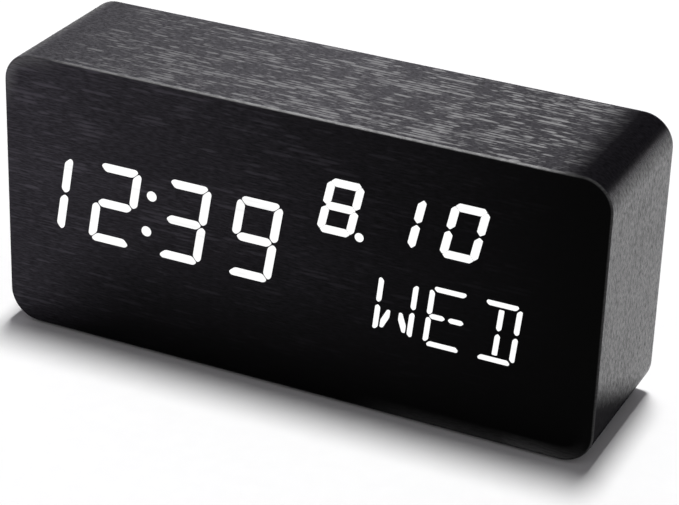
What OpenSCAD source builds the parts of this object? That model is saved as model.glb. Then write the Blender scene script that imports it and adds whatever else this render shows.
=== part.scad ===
// Desk alarm clock: a veneered wooden block whose digits shine through its front.
// Millimetres. +Z is up, the display faces -Y, the pads stand on Z = 0.

/* [Case] */
// width of the wooden body
case_w = 150; // [149:0.5:176]
// height of the wooden body above its pads
case_h = 69.4; // [68:0.2:86]
// depth from the front face to the rear edge
case_d = 40; // [39:0.5:60]
// outer radius of the four long corners
corner_r = 7.5; // [6:0.5:12]
// fibreboard thickness at the sides, top and bottom
wall_t = 6.5; // [5.5:0.25:7]
// fibreboard left in front of the pocket
front_wall_t = 4.4; // [3:0.2:5]
// veneer wrapped round the body
wrap_t = 0.5; // [0.4:0.1:0.8]
// veneer sheet on the front face
sheet_t = 0.6; // [0.4:0.1:1]
// glue line between the wrapped veneer and the body
glue = 0.05; // [0.02:0.01:0.1]
// sanded bevel on the outer edges
edge_bevel = 0.35; // [0.2:0.05:0.4]
// radius that the cutter left in the pocket's corners
pocket_r = 3; // [2:0.5:4]
// width of the ledge that the rear cover lies on
ledge_w = 2.5; // [2:0.25:3]
// side of the wooden corner blocks
block_side = 9; // [8:0.5:10]
// length of the wooden corner blocks
block_len = 14; // [12:0.5:16]
// diameter of a foam pad
pad_d = 11; // [8:0.5:14]
// thickness of a foam pad
pad_t = 0.6; // [0.4:0.1:2]
// distance of a pad's centre from the ends of the body
pad_inset_x = 17; // [14:0.5:24]
// distance of a pad's centre from the front and the rear
pad_inset_y = 9; // [8:0.5:12]

/* [Display] */
// hour shown
shown_hour = 12; // [1:1:12]
// minute shown
shown_minute = 39; // [0:1:59]
// month shown
shown_month = 8; // [1:1:12]
// day shown
shown_day = 10; // [1:1:31]
// weekday shown, Sunday first
shown_weekday = 3; // [0:1:6]
// width of the segment reflector
mask_w = 124; // [123:0.5:126]
// height of the segment reflector
mask_h = 41; // [40:0.5:42]
// reflector centre to the right of the face's centre
mask_x = -2; // [-2.5:0.25:-1.5]
// gap between the reflector's flange and the pocket's top wall
module_gap = 1.55; // [1.15:0.05:1.95]
// gap between the reflector and its window
window_gap = 0.3; // [0.2:0.05:0.5]
// reach of the reflector's flange behind the front wall
flange_lap = 2.4; // [1.5:0.1:2.6]
// thickness of the reflector's flange
flange_t = 2; // [1.5:0.1:3]
// foam tape between the flange and the front wall
tape_t = 0.5; // [0.3:0.1:0.8]
// diffuser film behind the front veneer
film_t = 0.3; // [0.2:0.05:0.5]
// gap between a light guide and its well
guide_gap = 0.05; // [0.03:0.01:0.08]
// half the wall left between neighbouring wells
stroke_gap = 0.22; // [0.2:0.01:0.26]

/* [Time row] */
// row centre to the right of the reflector's centre
time_x = -34.7; // [-35:0.1:-34.4]
// row centre above the reflector's centre
time_z = -1.8; // [-2.4:0.1:-1.2]
// distance from digit to digit
time_pitch = 18.22; // [17.8:0.02:18.4]
// digit width between stroke centres
time_w = 9.6; // [9:0.1:10]
// digit height between stroke centres
time_h = 18.7; // [17:0.1:19.5]
// stroke width
time_t = 2.1; // [1.9:0.05:2.6]
// lean of the digits in degrees
time_lean = 9; // [0:0.5:10]
// corner cut of the digits
time_cut = 1.1; // [0.8:0.1:1.6]
// radius of the colon's dots
colon_r = 1.25; // [1:0.05:1.6]
// height of a colon dot above or below the row's centre
colon_z = 4.6; // [4:0.1:5.5]

/* [Date row] */
// row centre to the right of the reflector's centre
date_x = 28.95; // [28.6:0.05:29.4]
// row centre above the reflector's centre
date_z = 11.6; // [10.8:0.1:11.8]
// distance from digit to digit
date_pitch = 14.95; // [14.5:0.05:15.2]
// rise from digit to digit
date_rise = 0.42; // [0:0.02:0.5]
// digit width between stroke centres
date_w = 7.3; // [6.5:0.1:7.6]
// digit height between stroke centres
date_h = 11.7; // [11:0.1:12.1]
// stroke width
date_t = 2; // [1.8:0.05:2.3]
// lean of the digits in degrees
date_lean = 11; // [0:0.5:12]
// corner cut of the digits
date_cut = 1.5; // [0.8:0.1:1.6]
// radius of the dot between month and day
dot_r = 1.1; // [0.9:0.1:1.4]
// dot to the right of the month's centre
dot_x = 4.8; // [4.6:0.05:5.4]
// dot below the month's centre
dot_z = 6.2; // [5.9:0.1:6.4]

/* [Weekday row] */
// row centre to the right of the reflector's centre
day_x = 40.8; // [40.4:0.1:41.2]
// row centre above the reflector's centre
day_z = -10.2; // [-10.8:0.1:-9.8]
// distance from letter to letter
day_pitch = 12.3; // [12:0.05:12.6]
// letter width between stroke centres
day_w = 8.6; // [8.3:0.1:9.2]
// letter height between stroke centres
day_h = 13.8; // [13.4:0.1:14.6]
// stroke width
day_t = 1.2; // [1.15:0.05:1.65]
// lean of the letters in degrees
day_lean = 6; // [0:0.5:7]
// corner cut of the letters
day_cut = 0.6; // [0.5:0.1:1.1]
// width of a slanted stroke along its end
day_slant_w = 0.7; // [0.65:0.05:1]
// height of a slanted stroke along its side
day_slant_h = 1.7; // [1.6:0.1:2.2]

/* [Boards] */
// thickness of both circuit boards
board_t = 1.6; // [1.2:0.1:1.8]
// length of a light emitting diode
led_l = 1; // [0.8:0.05:1]
// width of a light emitting diode
led_w = 0.5; // [0.4:0.05:0.5]
// height of a light emitting diode
led_h = 0.5; // [0.4:0.05:0.6]
// air between a diode and its light guide
led_air = 0.6; // [0.4:0.1:1]
// width of the control board
control_w = 50; // [49:0.5:52]
// height of the control board
control_h = 34; // [33:0.5:36]
// distance of a post's centre from the control board's edges
post_inset = 3; // [2.6:0.1:3.4]
// radius of a board post
post_r = 2.5; // [2.2:0.1:2.6]
// shank radius of a board screw
board_screw_r = 0.85; // [0.7:0.05:0.95]
// head radius of a board screw
board_head_r = 1.7; // [1.5:0.1:1.8]
// head height of a board screw
board_head_h = 1.1; // [0.9:0.1:1.3]
// grip of a board screw below the board
board_grip = 4; // [3:0.25:4.4]

/* [Rear cover] */
// set-back of the cover from the rear edge
cover_inset = 1.6; // [1.4:0.1:2]
// thickness of the cover
cover_t = 2.4; // [2.3:0.1:2.8]
// gap round the cover
cover_gap = 0.2; // [0.15:0.05:0.4]
// shank radius of a cover screw
cover_screw_r = 1.1; // [0.9:0.05:1.3]
// head radius of a cover screw
cover_head_r = 2.3; // [2.1:0.1:2.6]
// head height of a cover screw
cover_head_h = 1.3; // [1.1:0.1:1.5]
// grip of a cover screw below the cover
cover_grip = 8; // [6:0.5:10]
// gap round a screw in its hole
screw_gap = 0.05; // [0.03:0.01:0.1]
// gap round a screw's shank and head in the cover
head_gap = 0.3; // [0.2:0.05:0.4]

/* [Battery bay] */
// diameter of a cell
cell_d = 10.5; // [10.3:0.1:10.6]
// length of a cell
cell_l = 44.5; // [44:0.1:45]
// gap between neighbouring cells
cell_gap = 0.6; // [0.4:0.1:0.8]
// free length of a battery spring
spring_l = 6; // [5.6:0.1:6.4]
// length that a cell presses a spring in
spring_press = 1.4; // [1:0.1:2]
// radius of the spring wire
spring_wire_r = 0.3; // [0.25:0.01:0.32]
// coil radius at the plate
spring_base_r = 3.6; // [3.3:0.1:3.8]
// coil radius at the tip
spring_tip_r = 2.3; // [2:0.1:2.5]
// turns of a spring
spring_turns = 3.5; // [3:0.5:3.5]
// thickness of a contact plate
contact_t = 0.4; // [0.3:0.05:0.5]
// side of a contact plate for one cell
contact_side = 9; // [8:0.25:9.4]
// height of the raised nub that meets a cell's cap
nub_h = 0.6; // [0.4:0.1:0.8]
// moulded wall round the bay
bay_wall = 1.4; // [1.2:0.1:1.6]
// spare depth under the door
bay_slack = 0.5; // [0.4:0.1:0.8]
// gap between the bay and the corner blocks
bay_margin = 2; // [1:0.25:3]
// thickness of the battery door
door_t = 2.2; // [2:0.1:2.2]
// lap of the door over the edge of the bay
door_lap = 2.5; // [2:0.1:3]
// gap round the door
door_gap = 0.3; // [0.2:0.05:0.4]
// radius of the door's hinge pins
hinge_r = 0.6; // [0.5:0.05:0.65]
// running gap of a hinge pin
hinge_play = 0.05; // [0.03:0.01:0.08]
// length of a hinge pin
hinge_l = 1.6; // [1.2:0.1:2]
// width of the snap tongue
tongue_w = 12; // [9:0.5:15]
// length of the slits beside the snap tongue
slit_l = 6; // [4:0.5:8]
// width of the slits beside the snap tongue
slit_w = 0.8; // [0.6:0.1:1]
// reach of the snap tongue past the door
tongue_l = 1.2; // [0.8:0.1:1.6]

/* [Buttons] */
// radius of a button
button_r = 3.2; // [2.8:0.1:3.4]
// gap round a button
button_gap = 0.25; // [0.2:0.05:0.3]
// reach of a button past the cover
button_rise = 1; // [0.7:0.1:1.2]
// radius of the collar behind the cover
collar_r = 4.2; // [4:0.1:4.6]
// thickness of the collar
collar_t = 1.1; // [0.9:0.1:1.3]
// free play between the collar and the cover
collar_play = 0.1; // [0.05:0.05:0.2]
// distance from button to button
button_pitch = 14; // [12:0.5:15]
// row of buttons above the control board's centre
button_z = 8; // [7.5:0.25:9]
// side of a push switch
switch_side = 6; // [5.5:0.1:6.2]
// height of a push switch
switch_h = 3.4; // [3:0.1:3.8]
// radius of a switch plunger
plunger_r = 1.75; // [1.5:0.05:1.9]
// gap round a switch plunger
plunger_gap = 0.1; // [0.06:0.01:0.15]
// reach of a plunger past its switch
plunger_rise = 1; // [0.8:0.1:1.2]
// length of a plunger inside its switch
plunger_in = 1.2; // [1:0.1:1.4]
// room below a plunger
plunger_room = 0.8; // [0.7:0.1:1]

/* [Power and sound] */
// radius of the inlet's centre pin
inlet_pin_r = 0.65; // [0.6:0.05:0.8]
// radius of the inlet's mouth
inlet_bore_r = 1.8; // [1.7:0.05:2]
// outer radius of the inlet's barrel
inlet_r = 3; // [2.8:0.1:3.2]
// side of the inlet's base
inlet_side = 7.5; // [7:0.1:8]
// gap round the inlet's barrel
inlet_gap = 0.2; // [0.15:0.05:0.3]
// set-back of the inlet's barrel from the cover's face
inlet_inset = 0.2; // [0.1:0.05:0.4]
// set-back of the centre pin from the barrel's mouth
pin_inset = 0.6; // [0.4:0.1:1]
// inlet to the right of the control board's centre
inlet_x = 16; // [15:0.5:16.5]
// inlet below the control board's centre
inlet_z = 6; // [5:0.5:7]
// radius of the alarm buzzer
buzzer_r = 6; // [5:0.25:6.25]
// height of the alarm buzzer
buzzer_h = 4.8; // [4:0.1:5]
// buzzer to the right of the control board's centre
buzzer_x = 1; // [0:0.5:2]
// buzzer below the control board's centre
buzzer_z = 7; // [6.5:0.25:8]
// radius of a sound hole
sound_r = 0.75; // [0.5:0.05:0.9]
// radius of the ring of sound holes
sound_ring_r = 3; // [2.4:0.1:3.6]
// radius of the microphone
mic_r = 3; // [2.5:0.1:3.2]
// height of the microphone
mic_h = 2.7; // [2.2:0.1:3]
// wall of the microphone's rubber boot
boot_wall = 1.1; // [0.9:0.1:1.2]
// microphone to the left of the control board's centre
mic_x = 14; // [13:0.5:14.5]
// microphone below the control board's centre
mic_z = 7; // [6.5:0.25:8]
// radius of the backup coin cell
coin_r = 10; // [9.5:0.1:10]
// thickness of the backup coin cell
coin_t = 3.2; // [2.5:0.1:3.2]

/* [Hidden] */
$fn = 64;
skin = wrap_t + glue;
front_y = -case_d / 2;
rear_y = case_d / 2;
mid_z = pad_t + case_h / 2;
block_front_y = front_y + sheet_t;
wall_in_y = block_front_y + front_wall_t;
pocket_w = case_w - 2 * (skin + wall_t);
pocket_h = case_h - 2 * (skin + wall_t);
rabbet_w = pocket_w + 2 * ledge_w;
rabbet_h = pocket_h + 2 * ledge_w;
rabbet_r = pocket_r + ledge_w;
past = 1;
seam = 0.1;

// stations of the display module from front to rear
mask_front_y = block_front_y + film_t;
flange_front_y = wall_in_y + tape_t;
mask_rear_y = flange_front_y + flange_t;
display_rear_y = mask_rear_y + board_t;
guide_rear_y = mask_rear_y - led_h - led_air;
flange_w = mask_w + 2 * flange_lap;
flange_h = mask_h + 2 * flange_lap;
mask_z = pocket_h / 2 - flange_h / 2 - module_gap;
module_at = [mask_x, mid_z + mask_z];

// stations of the rear cover from rear to front
cover_out_y = rear_y - cover_inset;
cover_in_y = cover_out_y - cover_t;
collar_out_y = cover_in_y - collar_play;
collar_in_y = collar_out_y - collar_t;
control_out_y = collar_in_y - plunger_rise - switch_h;
control_in_y = control_out_y - board_t;
screw_x = pocket_w / 2 - block_side / 2;
screw_z = pocket_h / 2 - block_side / 2;
pilot_past = 0.4;
screw_spots = [for (sx = [-1, 1], sz = [-1, 1]) [sx * screw_x, mid_z + sz * screw_z]];

// battery bay, measured inside its walls
cell_count = 3;
cell_pitch = cell_d + cell_gap;
bay_l = cell_l + spring_l - spring_press + 2 * contact_t + nub_h;
bay_h = cell_count * cell_pitch;
bay_floor_y = cover_in_y - cell_d - bay_slack;
bay_back_y = bay_floor_y - bay_wall;
bay_x = -pocket_w / 2 + block_side + bay_margin + bay_wall + bay_l / 2;
bay_left = bay_x - bay_l / 2;
bay_right = bay_x + bay_l / 2;
door_w = bay_l + 2 * door_lap;
door_h = bay_h + 2 * door_lap;
door_low_z = mid_z - door_h / 2;
hinge_y = cover_out_y - door_t / 2;
hinge_z = door_low_z + door_t / 2;
row_z = [for (i = [0:cell_count - 1]) mid_z + (i - (cell_count - 1) / 2) * cell_pitch];

// control board and what stands on it
control_x = (bay_right + bay_wall + pocket_w / 2 - block_side) / 2;
post_spots = [for (sx = [-1, 1], sz = [-1, 1])
    [control_x + sx * (control_w / 2 - post_inset), mid_z + sz * (control_h / 2 - post_inset)]];
button_row_z = mid_z + button_z;
buzzer_spot = [control_x + buzzer_x, mid_z - buzzer_z];
mic_spot = [control_x - mic_x, mid_z - mic_z];
inlet_spot = [control_x + inlet_x, mid_z - inlet_z];
inlet_mouth_y = cover_out_y - inlet_inset;
inlet_floor = 1;
inlet_floor_y = control_out_y + inlet_floor;
plunger_foot_y = control_out_y + switch_h - plunger_in;

// screws of the display board, clear of every well: three near the reflector's corners, one beside the
// weekday
spot_side = 6;
spot_top = 4.2;
spot_low = 3.8;
spot_by_day = [13, 4.3];
display_spots = [
    module_at + [spot_side - mask_w / 2, mask_h / 2 - spot_top],
    module_at + [mask_w / 2 - spot_side, mask_h / 2 - spot_top],
    module_at + [spot_side - mask_w / 2, spot_low - mask_h / 2],
    module_at + [spot_by_day[0], spot_by_day[1] - mask_h / 2]
];

// strokes of the digits and letters: a top, b c right, d bottom, e f left, g middle,
// p q halves of a letter's middle, i l its upright, h j k m its slants
digit_names = "abcdefg";
letter_names = "abcdefpqhijklm";
digit_glyphs = ["abcdef", "bc", "abged", "abgcd", "fgbc", "afgcd", "afgedc", "abc", "abcdefg", "abfgcd", ""];
weekday_glyphs = [
    ["afpqcd", "fedcb", "febchm"],
    ["febchj", "abcdef", "febchm"],
    ["ail", "fedcb", "afedpq"],
    ["febckm", "afedpq", "abcdil"],
    ["ail", "febcpq", "fedcb"],
    ["afepq", "afebpqm", "adil"],
    ["afpqcd", "afebcpq", "ail"]
];
blank = 10;

function tens(n) = floor(n / 10);
function tens_or_blank(n) = n < 10 ? blank : tens(n);
function has(name, glyph) = len([for (c = glyph) if (c == name) 1]) > 0;
function flip_x(points) = [for (p = points) [-p[0], p[1]]];
function flip_z(points) = [for (p = points) [p[0], -p[1]]];
function lean_point(p, a) = [p[0] + p[1] * tan(a), p[1]];
function place(points, a, at) = [for (p = points) lean_point(p, a) + at];
function middle(points) = [for (k = [0, 1]) let (v = [for (p = points) p[k]]) (min(v) + max(v)) / 2];

// outline of one stroke; w and h run between stroke centres, t is the width, k the corner cut, g the gap
function top_bar(w, h, t, k, g) =
    let (x = (w + t) / 2, z = (h + t) / 2, xi = (w - t) / 2, zi = (h - t) / 2)
    [[k - x, z], [x - k, z], [x - k / 2 - g, z - k / 2], [xi - g, zi], [g - xi, zi],
        [k / 2 + g - x, z - k / 2]];
function right_bar(w, h, t, k, g) =
    let (x = (w + t) / 2, z = (h + t) / 2, xi = (w - t) / 2, zi = (h - t) / 2)
    [[x, z - k], [x - k / 2, z - k / 2 - g], [xi, zi - g], [xi, t / 2 + g], [w / 2, g], [x, t / 3 + g]];
function middle_bar(x0, x1, t) =
    [[x0, 0], [x0 + t / 2, t / 2], [x1 - t / 2, t / 2], [x1, 0], [x1 - t / 2, -t / 2], [x0 + t / 2, -t / 2]];
function upright(h, t, g) =
    let (z = (h - t) / 2 - 2 * g)
    [[-t / 2, z], [t / 2, z], [t / 2, t / 2 + g], [0, g], [-t / 2, t / 2 + g]];
function slant(w, h, t, g) =
    let (x0 = 1.5 * g - (w - t) / 2, x1 = -t / 2 - 1.5 * g, z0 = (h - t) / 2 - 1.5 * g, z1 = t / 2 + 1.5 * g,
        sw = day_slant_w + t - day_t, sh = day_slant_h + t - day_t)
    [[x0, z0], [x0 + sw, z0], [x1, z1 + sh], [x1, z1], [x1 - sw, z1], [x0, z0 - sh]];
function stroke(name, w, h, t, k, g) =
    name == "a" ? top_bar(w, h, t, k, g) :
    name == "d" ? flip_z(top_bar(w, h, t, k, g)) :
    name == "b" ? right_bar(w, h, t, k, g) :
    name == "c" ? flip_z(right_bar(w, h, t, k, g)) :
    name == "e" ? flip_x(flip_z(right_bar(w, h, t, k, g))) :
    name == "f" ? flip_x(right_bar(w, h, t, k, g)) :
    name == "g" ? middle_bar(g - w / 2, w / 2 - g, t) :
    name == "p" ? middle_bar(g - w / 2, -g, t) :
    name == "q" ? middle_bar(g, w / 2 - g, t) :
    name == "i" ? upright(h, t, g) :
    name == "l" ? flip_z(upright(h, t, g)) :
    name == "h" ? slant(w, h, t, g) :
    name == "j" ? flip_x(slant(w, h, t, g)) :
    name == "k" ? flip_z(slant(w, h, t, g)) :
    flip_x(flip_z(slant(w, h, t, g)));

// rows of strokes as [lit, outline]; c shrinks every outline, so a light guide is its well less a gap
time_values = [tens_or_blank(shown_hour), shown_hour % 10, tens(shown_minute), shown_minute % 10];
date_values = [tens_or_blank(shown_month), shown_month % 10, tens_or_blank(shown_day), shown_day % 10];
function time_row(c) = [for (i = [0:3], n = i == 0 ? "bc" : digit_names)
    [has(n, digit_glyphs[time_values[i]]),
        place(stroke(n, time_w, time_h, time_t - 2 * c, time_cut, stroke_gap + 1.5 * c), time_lean,
            module_at + [time_x + (i - 1.5) * time_pitch, time_z])]];
function date_row(c) = [for (i = [0:3], n = i == 0 ? "bc" : digit_names)
    [has(n, digit_glyphs[date_values[i]]),
        place(stroke(n, date_w, date_h, date_t - 2 * c, date_cut, stroke_gap + 1.5 * c), date_lean,
            module_at + [date_x + (i - 2) * date_pitch, date_z + (i - 2) * date_rise])]];
function day_row(c) = [for (i = [0:2], n = letter_names)
    [has(n, weekday_glyphs[shown_weekday][i]),
        place(stroke(n, day_w, day_h, day_t - 2 * c, day_cut, stroke_gap + 1.5 * c), day_lean,
            module_at + [day_x + (i - 1) * day_pitch, day_z])]];
colon_spots = [for (s = [-1, 1]) module_at + [time_x, time_z] + lean_point([0, s * colon_z], time_lean)];
dot_spot = module_at + [date_x - date_pitch + dot_x, date_z - date_rise - dot_z];
all_strokes = concat(time_row(0), date_row(0), day_row(0));

// flat shapes are drawn in X and Z and pulled along Y
module along_y(y0, y1) {
    translate([0, y1, 0]) rotate([90, 0, 0]) linear_extrude(height = y1 - y0) children();
}

module rod_y(spot, r, y0, y1) {
    translate([spot[0], y1, spot[1]]) rotate([90, 0, 0]) cylinder(r = r, h = y1 - y0);
}

module rod_x(r, x0, x1, y, z) {
    translate([x0, y, z]) rotate([0, 90, 0]) cylinder(r = r, h = x1 - x0);
}

module box(low, high) {
    translate(low) cube(high - low);
}

module box_at(spot, w, h, y0, y1) {
    box([spot[0] - w / 2, y0, spot[1] - h / 2], [spot[0] + w / 2, y1, spot[1] + h / 2]);
}

module round_rect(w, h, r) {
    square([w - 2 * r, h], center = true);
    square([w, h - 2 * r], center = true);
    for (sx = [-1, 1], sz = [-1, 1]) translate([sx * (w / 2 - r), sz * (h / 2 - r)]) circle(r = r);
}

module face(w, h, r, x = 0, z = 0) {
    translate([x, mid_z + z]) round_rect(w, h, r);
}

// rounded slab whose edge at y0 is bevelled by b
module bevelled_slab(w, h, r, y0, y1, b) {
    along_y(y0 + b, y1) face(w, h, r);
    translate([0, 0, mid_z - h / 2 + r]) linear_extrude(height = h - 2 * r)
        polygon([[b - w / 2, y0], [w / 2 - b, y0], [w / 2, y0 + b], [-w / 2, y0 + b]]);
    translate([r - w / 2, 0, mid_z]) rotate([90, 0, 90]) linear_extrude(height = w - 2 * r)
        polygon([[y0, b - h / 2], [y0, h / 2 - b], [y0 + b, h / 2], [y0 + b, -h / 2]]);
    for (sx = [-1, 1], sz = [-1, 1])
        translate([sx * (w / 2 - r), y0 + b, mid_z + sz * (h / 2 - r)])
            rotate([90, 0, 0]) cylinder(r1 = r, r2 = r - b, h = b);
}

// pan-head screw with a crossed slot, its head towards +Y; the slot is sized by the head's radius
slot_l = 1.3;
slot_w = 0.3;
module screw_to_rear(spot, shank_r, head_r, head_h, seat_y, grip) {
    difference() {
        union() {
            rod_y(spot, shank_r, seat_y - grip, seat_y + seam);
            rod_y(spot, head_r, seat_y, seat_y + head_h);
        }
        for (a = [0, 90])
            translate([spot[0], seat_y + head_h, spot[1]]) rotate([0, a, 0])
                cube([head_r * slot_l, head_h, head_r * slot_w], center = true);
    }
}

module wells(list, lit) {
    for (s = list) if (s[0] == lit) polygon(s[1]);
}

module dots(spots, r) {
    for (p = spots) translate(p) circle(r = r);
}

module case_block() {
    color([0.20, 0.16, 0.13]) difference() {
        along_y(block_front_y, rear_y) face(case_w - 2 * skin, case_h - 2 * skin, corner_r - skin);
        along_y(wall_in_y, rear_y + past) face(pocket_w, pocket_h, pocket_r);
        along_y(cover_in_y, rear_y + past) face(rabbet_w, rabbet_h, rabbet_r);
        along_y(block_front_y - past, wall_in_y + past)
            face(mask_w + 2 * window_gap, mask_h + 2 * window_gap, pocket_r, mask_x, mask_z);
    }
}

module wrap_veneer() {
    color([0.10, 0.10, 0.11]) difference() {
        mirror([0, 1, 0]) bevelled_slab(case_w, case_h, corner_r, -rear_y, -block_front_y, edge_bevel);
        along_y(block_front_y - past, rear_y + past)
            face(case_w - 2 * wrap_t, case_h - 2 * wrap_t, corner_r - wrap_t);
    }
}

module front_veneer() {
    color([0.03, 0.03, 0.035, 0.55])
        bevelled_slab(case_w, case_h, corner_r, front_y, block_front_y, edge_bevel);
}

module corner_blocks() {
    color([0.72, 0.56, 0.38]) for (sx = [-1, 1], sz = [-1, 1]) difference() {
        along_y(cover_in_y - block_len, cover_in_y) intersection() {
            face(pocket_w - 2 * glue, pocket_h - 2 * glue, pocket_r - glue);
            translate([sx * screw_x, mid_z + sz * screw_z]) square(block_side, center = true);
        }
        rod_y([sx * screw_x, mid_z + sz * screw_z], cover_screw_r + screw_gap,
            cover_in_y - cover_grip - past, cover_in_y + past);
    }
}

module foot_pads() {
    color([0.12, 0.12, 0.12]) for (sx = [-1, 1], sy = [-1, 1])
        translate([sx * (case_w / 2 - pad_inset_x), sy * (case_d / 2 - pad_inset_y), 0])
            cylinder(d = pad_d, h = pad_t);
}

module diffuser_film() {
    color([0.92, 0.93, 0.95])
        along_y(block_front_y, mask_front_y) face(mask_w, mask_h, pocket_r, mask_x, mask_z);
}

module segment_reflector() {
    color([0.93, 0.93, 0.92]) difference() {
        union() {
            along_y(mask_front_y, mask_rear_y) face(mask_w, mask_h, pocket_r, mask_x, mask_z);
            along_y(flange_front_y, mask_rear_y) face(flange_w, flange_h, pocket_r, mask_x, mask_z);
        }
        along_y(mask_front_y - past, mask_rear_y + past) {
            wells(all_strokes, true);
            wells(all_strokes, false);
            dots(colon_spots, colon_r);
            dots([dot_spot], dot_r);
        }
        for (p = display_spots)
            rod_y(p, board_screw_r + screw_gap, mask_rear_y - board_grip - pilot_past, mask_rear_y + past);
    }
}

module time_guides() {
    color([1, 1, 1]) along_y(mask_front_y, guide_rear_y) {
        wells(time_row(guide_gap), true);
        dots(colon_spots, colon_r - guide_gap);
    }
}

module date_guides() {
    color([1, 1, 1]) along_y(mask_front_y, guide_rear_y) {
        wells(date_row(guide_gap), true);
        dots([dot_spot], dot_r - guide_gap);
    }
}

module weekday_guides() {
    color([1, 1, 1]) along_y(mask_front_y, guide_rear_y) wells(day_row(guide_gap), true);
}

module dark_guides() {
    color([0.55, 0.56, 0.58]) along_y(mask_front_y, guide_rear_y) {
        wells(time_row(guide_gap), false);
        wells(date_row(guide_gap), false);
        wells(day_row(guide_gap), false);
    }
}

module module_tape() {
    color([0.15, 0.15, 0.16]) along_y(wall_in_y, flange_front_y) difference() {
        face(flange_w, flange_h, pocket_r, mask_x, mask_z);
        face(mask_w + 2 * window_gap, mask_h + 2 * window_gap, pocket_r, mask_x, mask_z);
    }
}

module display_board() {
    color([0.06, 0.28, 0.14]) difference() {
        along_y(mask_rear_y, display_rear_y) face(flange_w, flange_h, pocket_r, mask_x, mask_z);
        for (p = display_spots)
            rod_y(p, board_screw_r + head_gap, mask_rear_y - past, display_rear_y + past);
    }
}

module display_leds() {
    color([0.96, 0.93, 0.72]) {
        for (s = all_strokes) box_at(middle(s[1]), led_w, led_l, mask_rear_y - led_h, mask_rear_y);
        for (p = concat(colon_spots, [dot_spot])) box_at(p, led_w, led_l, mask_rear_y - led_h, mask_rear_y);
    }
}

module display_screws() {
    color([0.75, 0.75, 0.77]) for (p = display_spots)
        screw_to_rear(p, board_screw_r, board_head_r, board_head_h, display_rear_y, board_t + board_grip);
}

// chips on the rear of the display board: [x, z, length, width]
controller_place = [-30, 9, 18, 7.6];
driver_places = [[-2, 12, 13, 5.6], [-2, -2, 13, 5.6]];
chip_h = 2.2;
dimple_r = 0.5;
dimple_inset = 1.5;
dimple_depth = 0.3;
chip_lift = 0.2;
lead_pitch = 1.27;
lead_t = 0.4;
lead_reach = 1.2;

module chip(place) {
    difference() {
        box_at([place[0], mid_z + place[1]], place[2], place[3], display_rear_y + chip_lift,
            display_rear_y + chip_h);
        rod_y([place[0] - place[2] / 2 + dimple_inset, mid_z + place[1] - place[3] / 2 + dimple_inset],
            dimple_r, display_rear_y + chip_h - dimple_depth, display_rear_y + chip_h + past);
    }
}

// bent legs along both long sides of a chip
module legs(place) {
    count = floor((place[2] - lead_pitch) / lead_pitch);
    for (i = [0:count - 1], s = [-1, 1])
        translate([place[0] + (i - (count - 1) / 2) * lead_pitch - lead_t / 2, 0, mid_z + place[1]])
            rotate([90, 0, 90]) linear_extrude(height = lead_t) polygon([for (p = [
                [chip_h / 2, 0], [chip_h / 2, lead_reach / 2], [0, lead_reach / 2], [0, lead_reach],
                [lead_t / 2, lead_reach], [lead_t / 2, lead_reach / 2 + lead_t / 2],
                [chip_h / 2 + lead_t / 2, lead_reach / 2 + lead_t / 2], [chip_h / 2 + lead_t / 2, 0]
            ]) [display_rear_y + p[0], s * (place[3] / 2 + p[1])]]);
}

module controller_chip() {
    color([0.06, 0.06, 0.07]) chip(controller_place);
}

module driver_chips() {
    color([0.06, 0.06, 0.07]) for (p = driver_places) chip(p);
}

module chip_legs() {
    color([0.78, 0.78, 0.80]) {
        legs(controller_place);
        for (p = driver_places) legs(p);
    }
}

crystal_spot = [-48, 8];
crystal_r = 1.5;
crystal_l = 8;
crystal_flat = 0.15;
resistor_row = [-30, -4];
resistor_size = [1.25, 2, 0.6];
resistor_pitch = 2.4;
resistor_count = 8;

module timing_crystal() {
    color([0.80, 0.80, 0.82]) translate([crystal_spot[0], display_rear_y + crystal_r - crystal_flat,
        mid_z + crystal_spot[1]])
        difference() {
            cylinder(r = crystal_r, h = crystal_l, center = true);
            translate([0, -crystal_r, 0])
                cube([2 * crystal_r, 2 * crystal_flat, crystal_l + past], center = true);
        }
}

module resistors() {
    color([0.10, 0.10, 0.11]) for (i = [0:resistor_count - 1])
        box_at([resistor_row[0] + (i - (resistor_count - 1) / 2) * resistor_pitch, mid_z + resistor_row[1]],
            resistor_size[0], resistor_size[1], display_rear_y, display_rear_y + resistor_size[2]);
}

// rear cover: plate, door recess with its ledge, battery bay, posts and ribs in one moulding
rib_t = 1.2;
rib_h = 2.4;
scoop_r = 8;
scoop_depth = 1.1;
ledge_t = 1.4;
block_gap = 0.3;

module cover_solid() {
    along_y(cover_in_y, cover_out_y)
        face(rabbet_w - 2 * cover_gap, rabbet_h - 2 * cover_gap, rabbet_r - cover_gap);
    difference() {
        box_at([bay_x, mid_z], door_w + 2 * (door_gap + rib_t), door_h + 2 * (door_gap + tongue_l + rib_t),
            cover_in_y - ledge_t, cover_in_y + past);
        for (p = screw_spots)
            box_at(p, block_side + 2 * block_gap, block_side + 2 * block_gap, cover_in_y - ledge_t - past,
                cover_in_y);
    }
    box_at([bay_x, mid_z], bay_l + 2 * bay_wall, bay_h + 2 * bay_wall, bay_back_y, cover_in_y);
    for (p = post_spots) rod_y(p, post_r, control_out_y, cover_in_y + past);
    for (s = [-1, 1])
        box_at([control_x, mid_z + s * (control_h / 2 + rib_t)], control_w, rib_t, cover_in_y - rib_h,
            cover_in_y + past);
}

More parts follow.
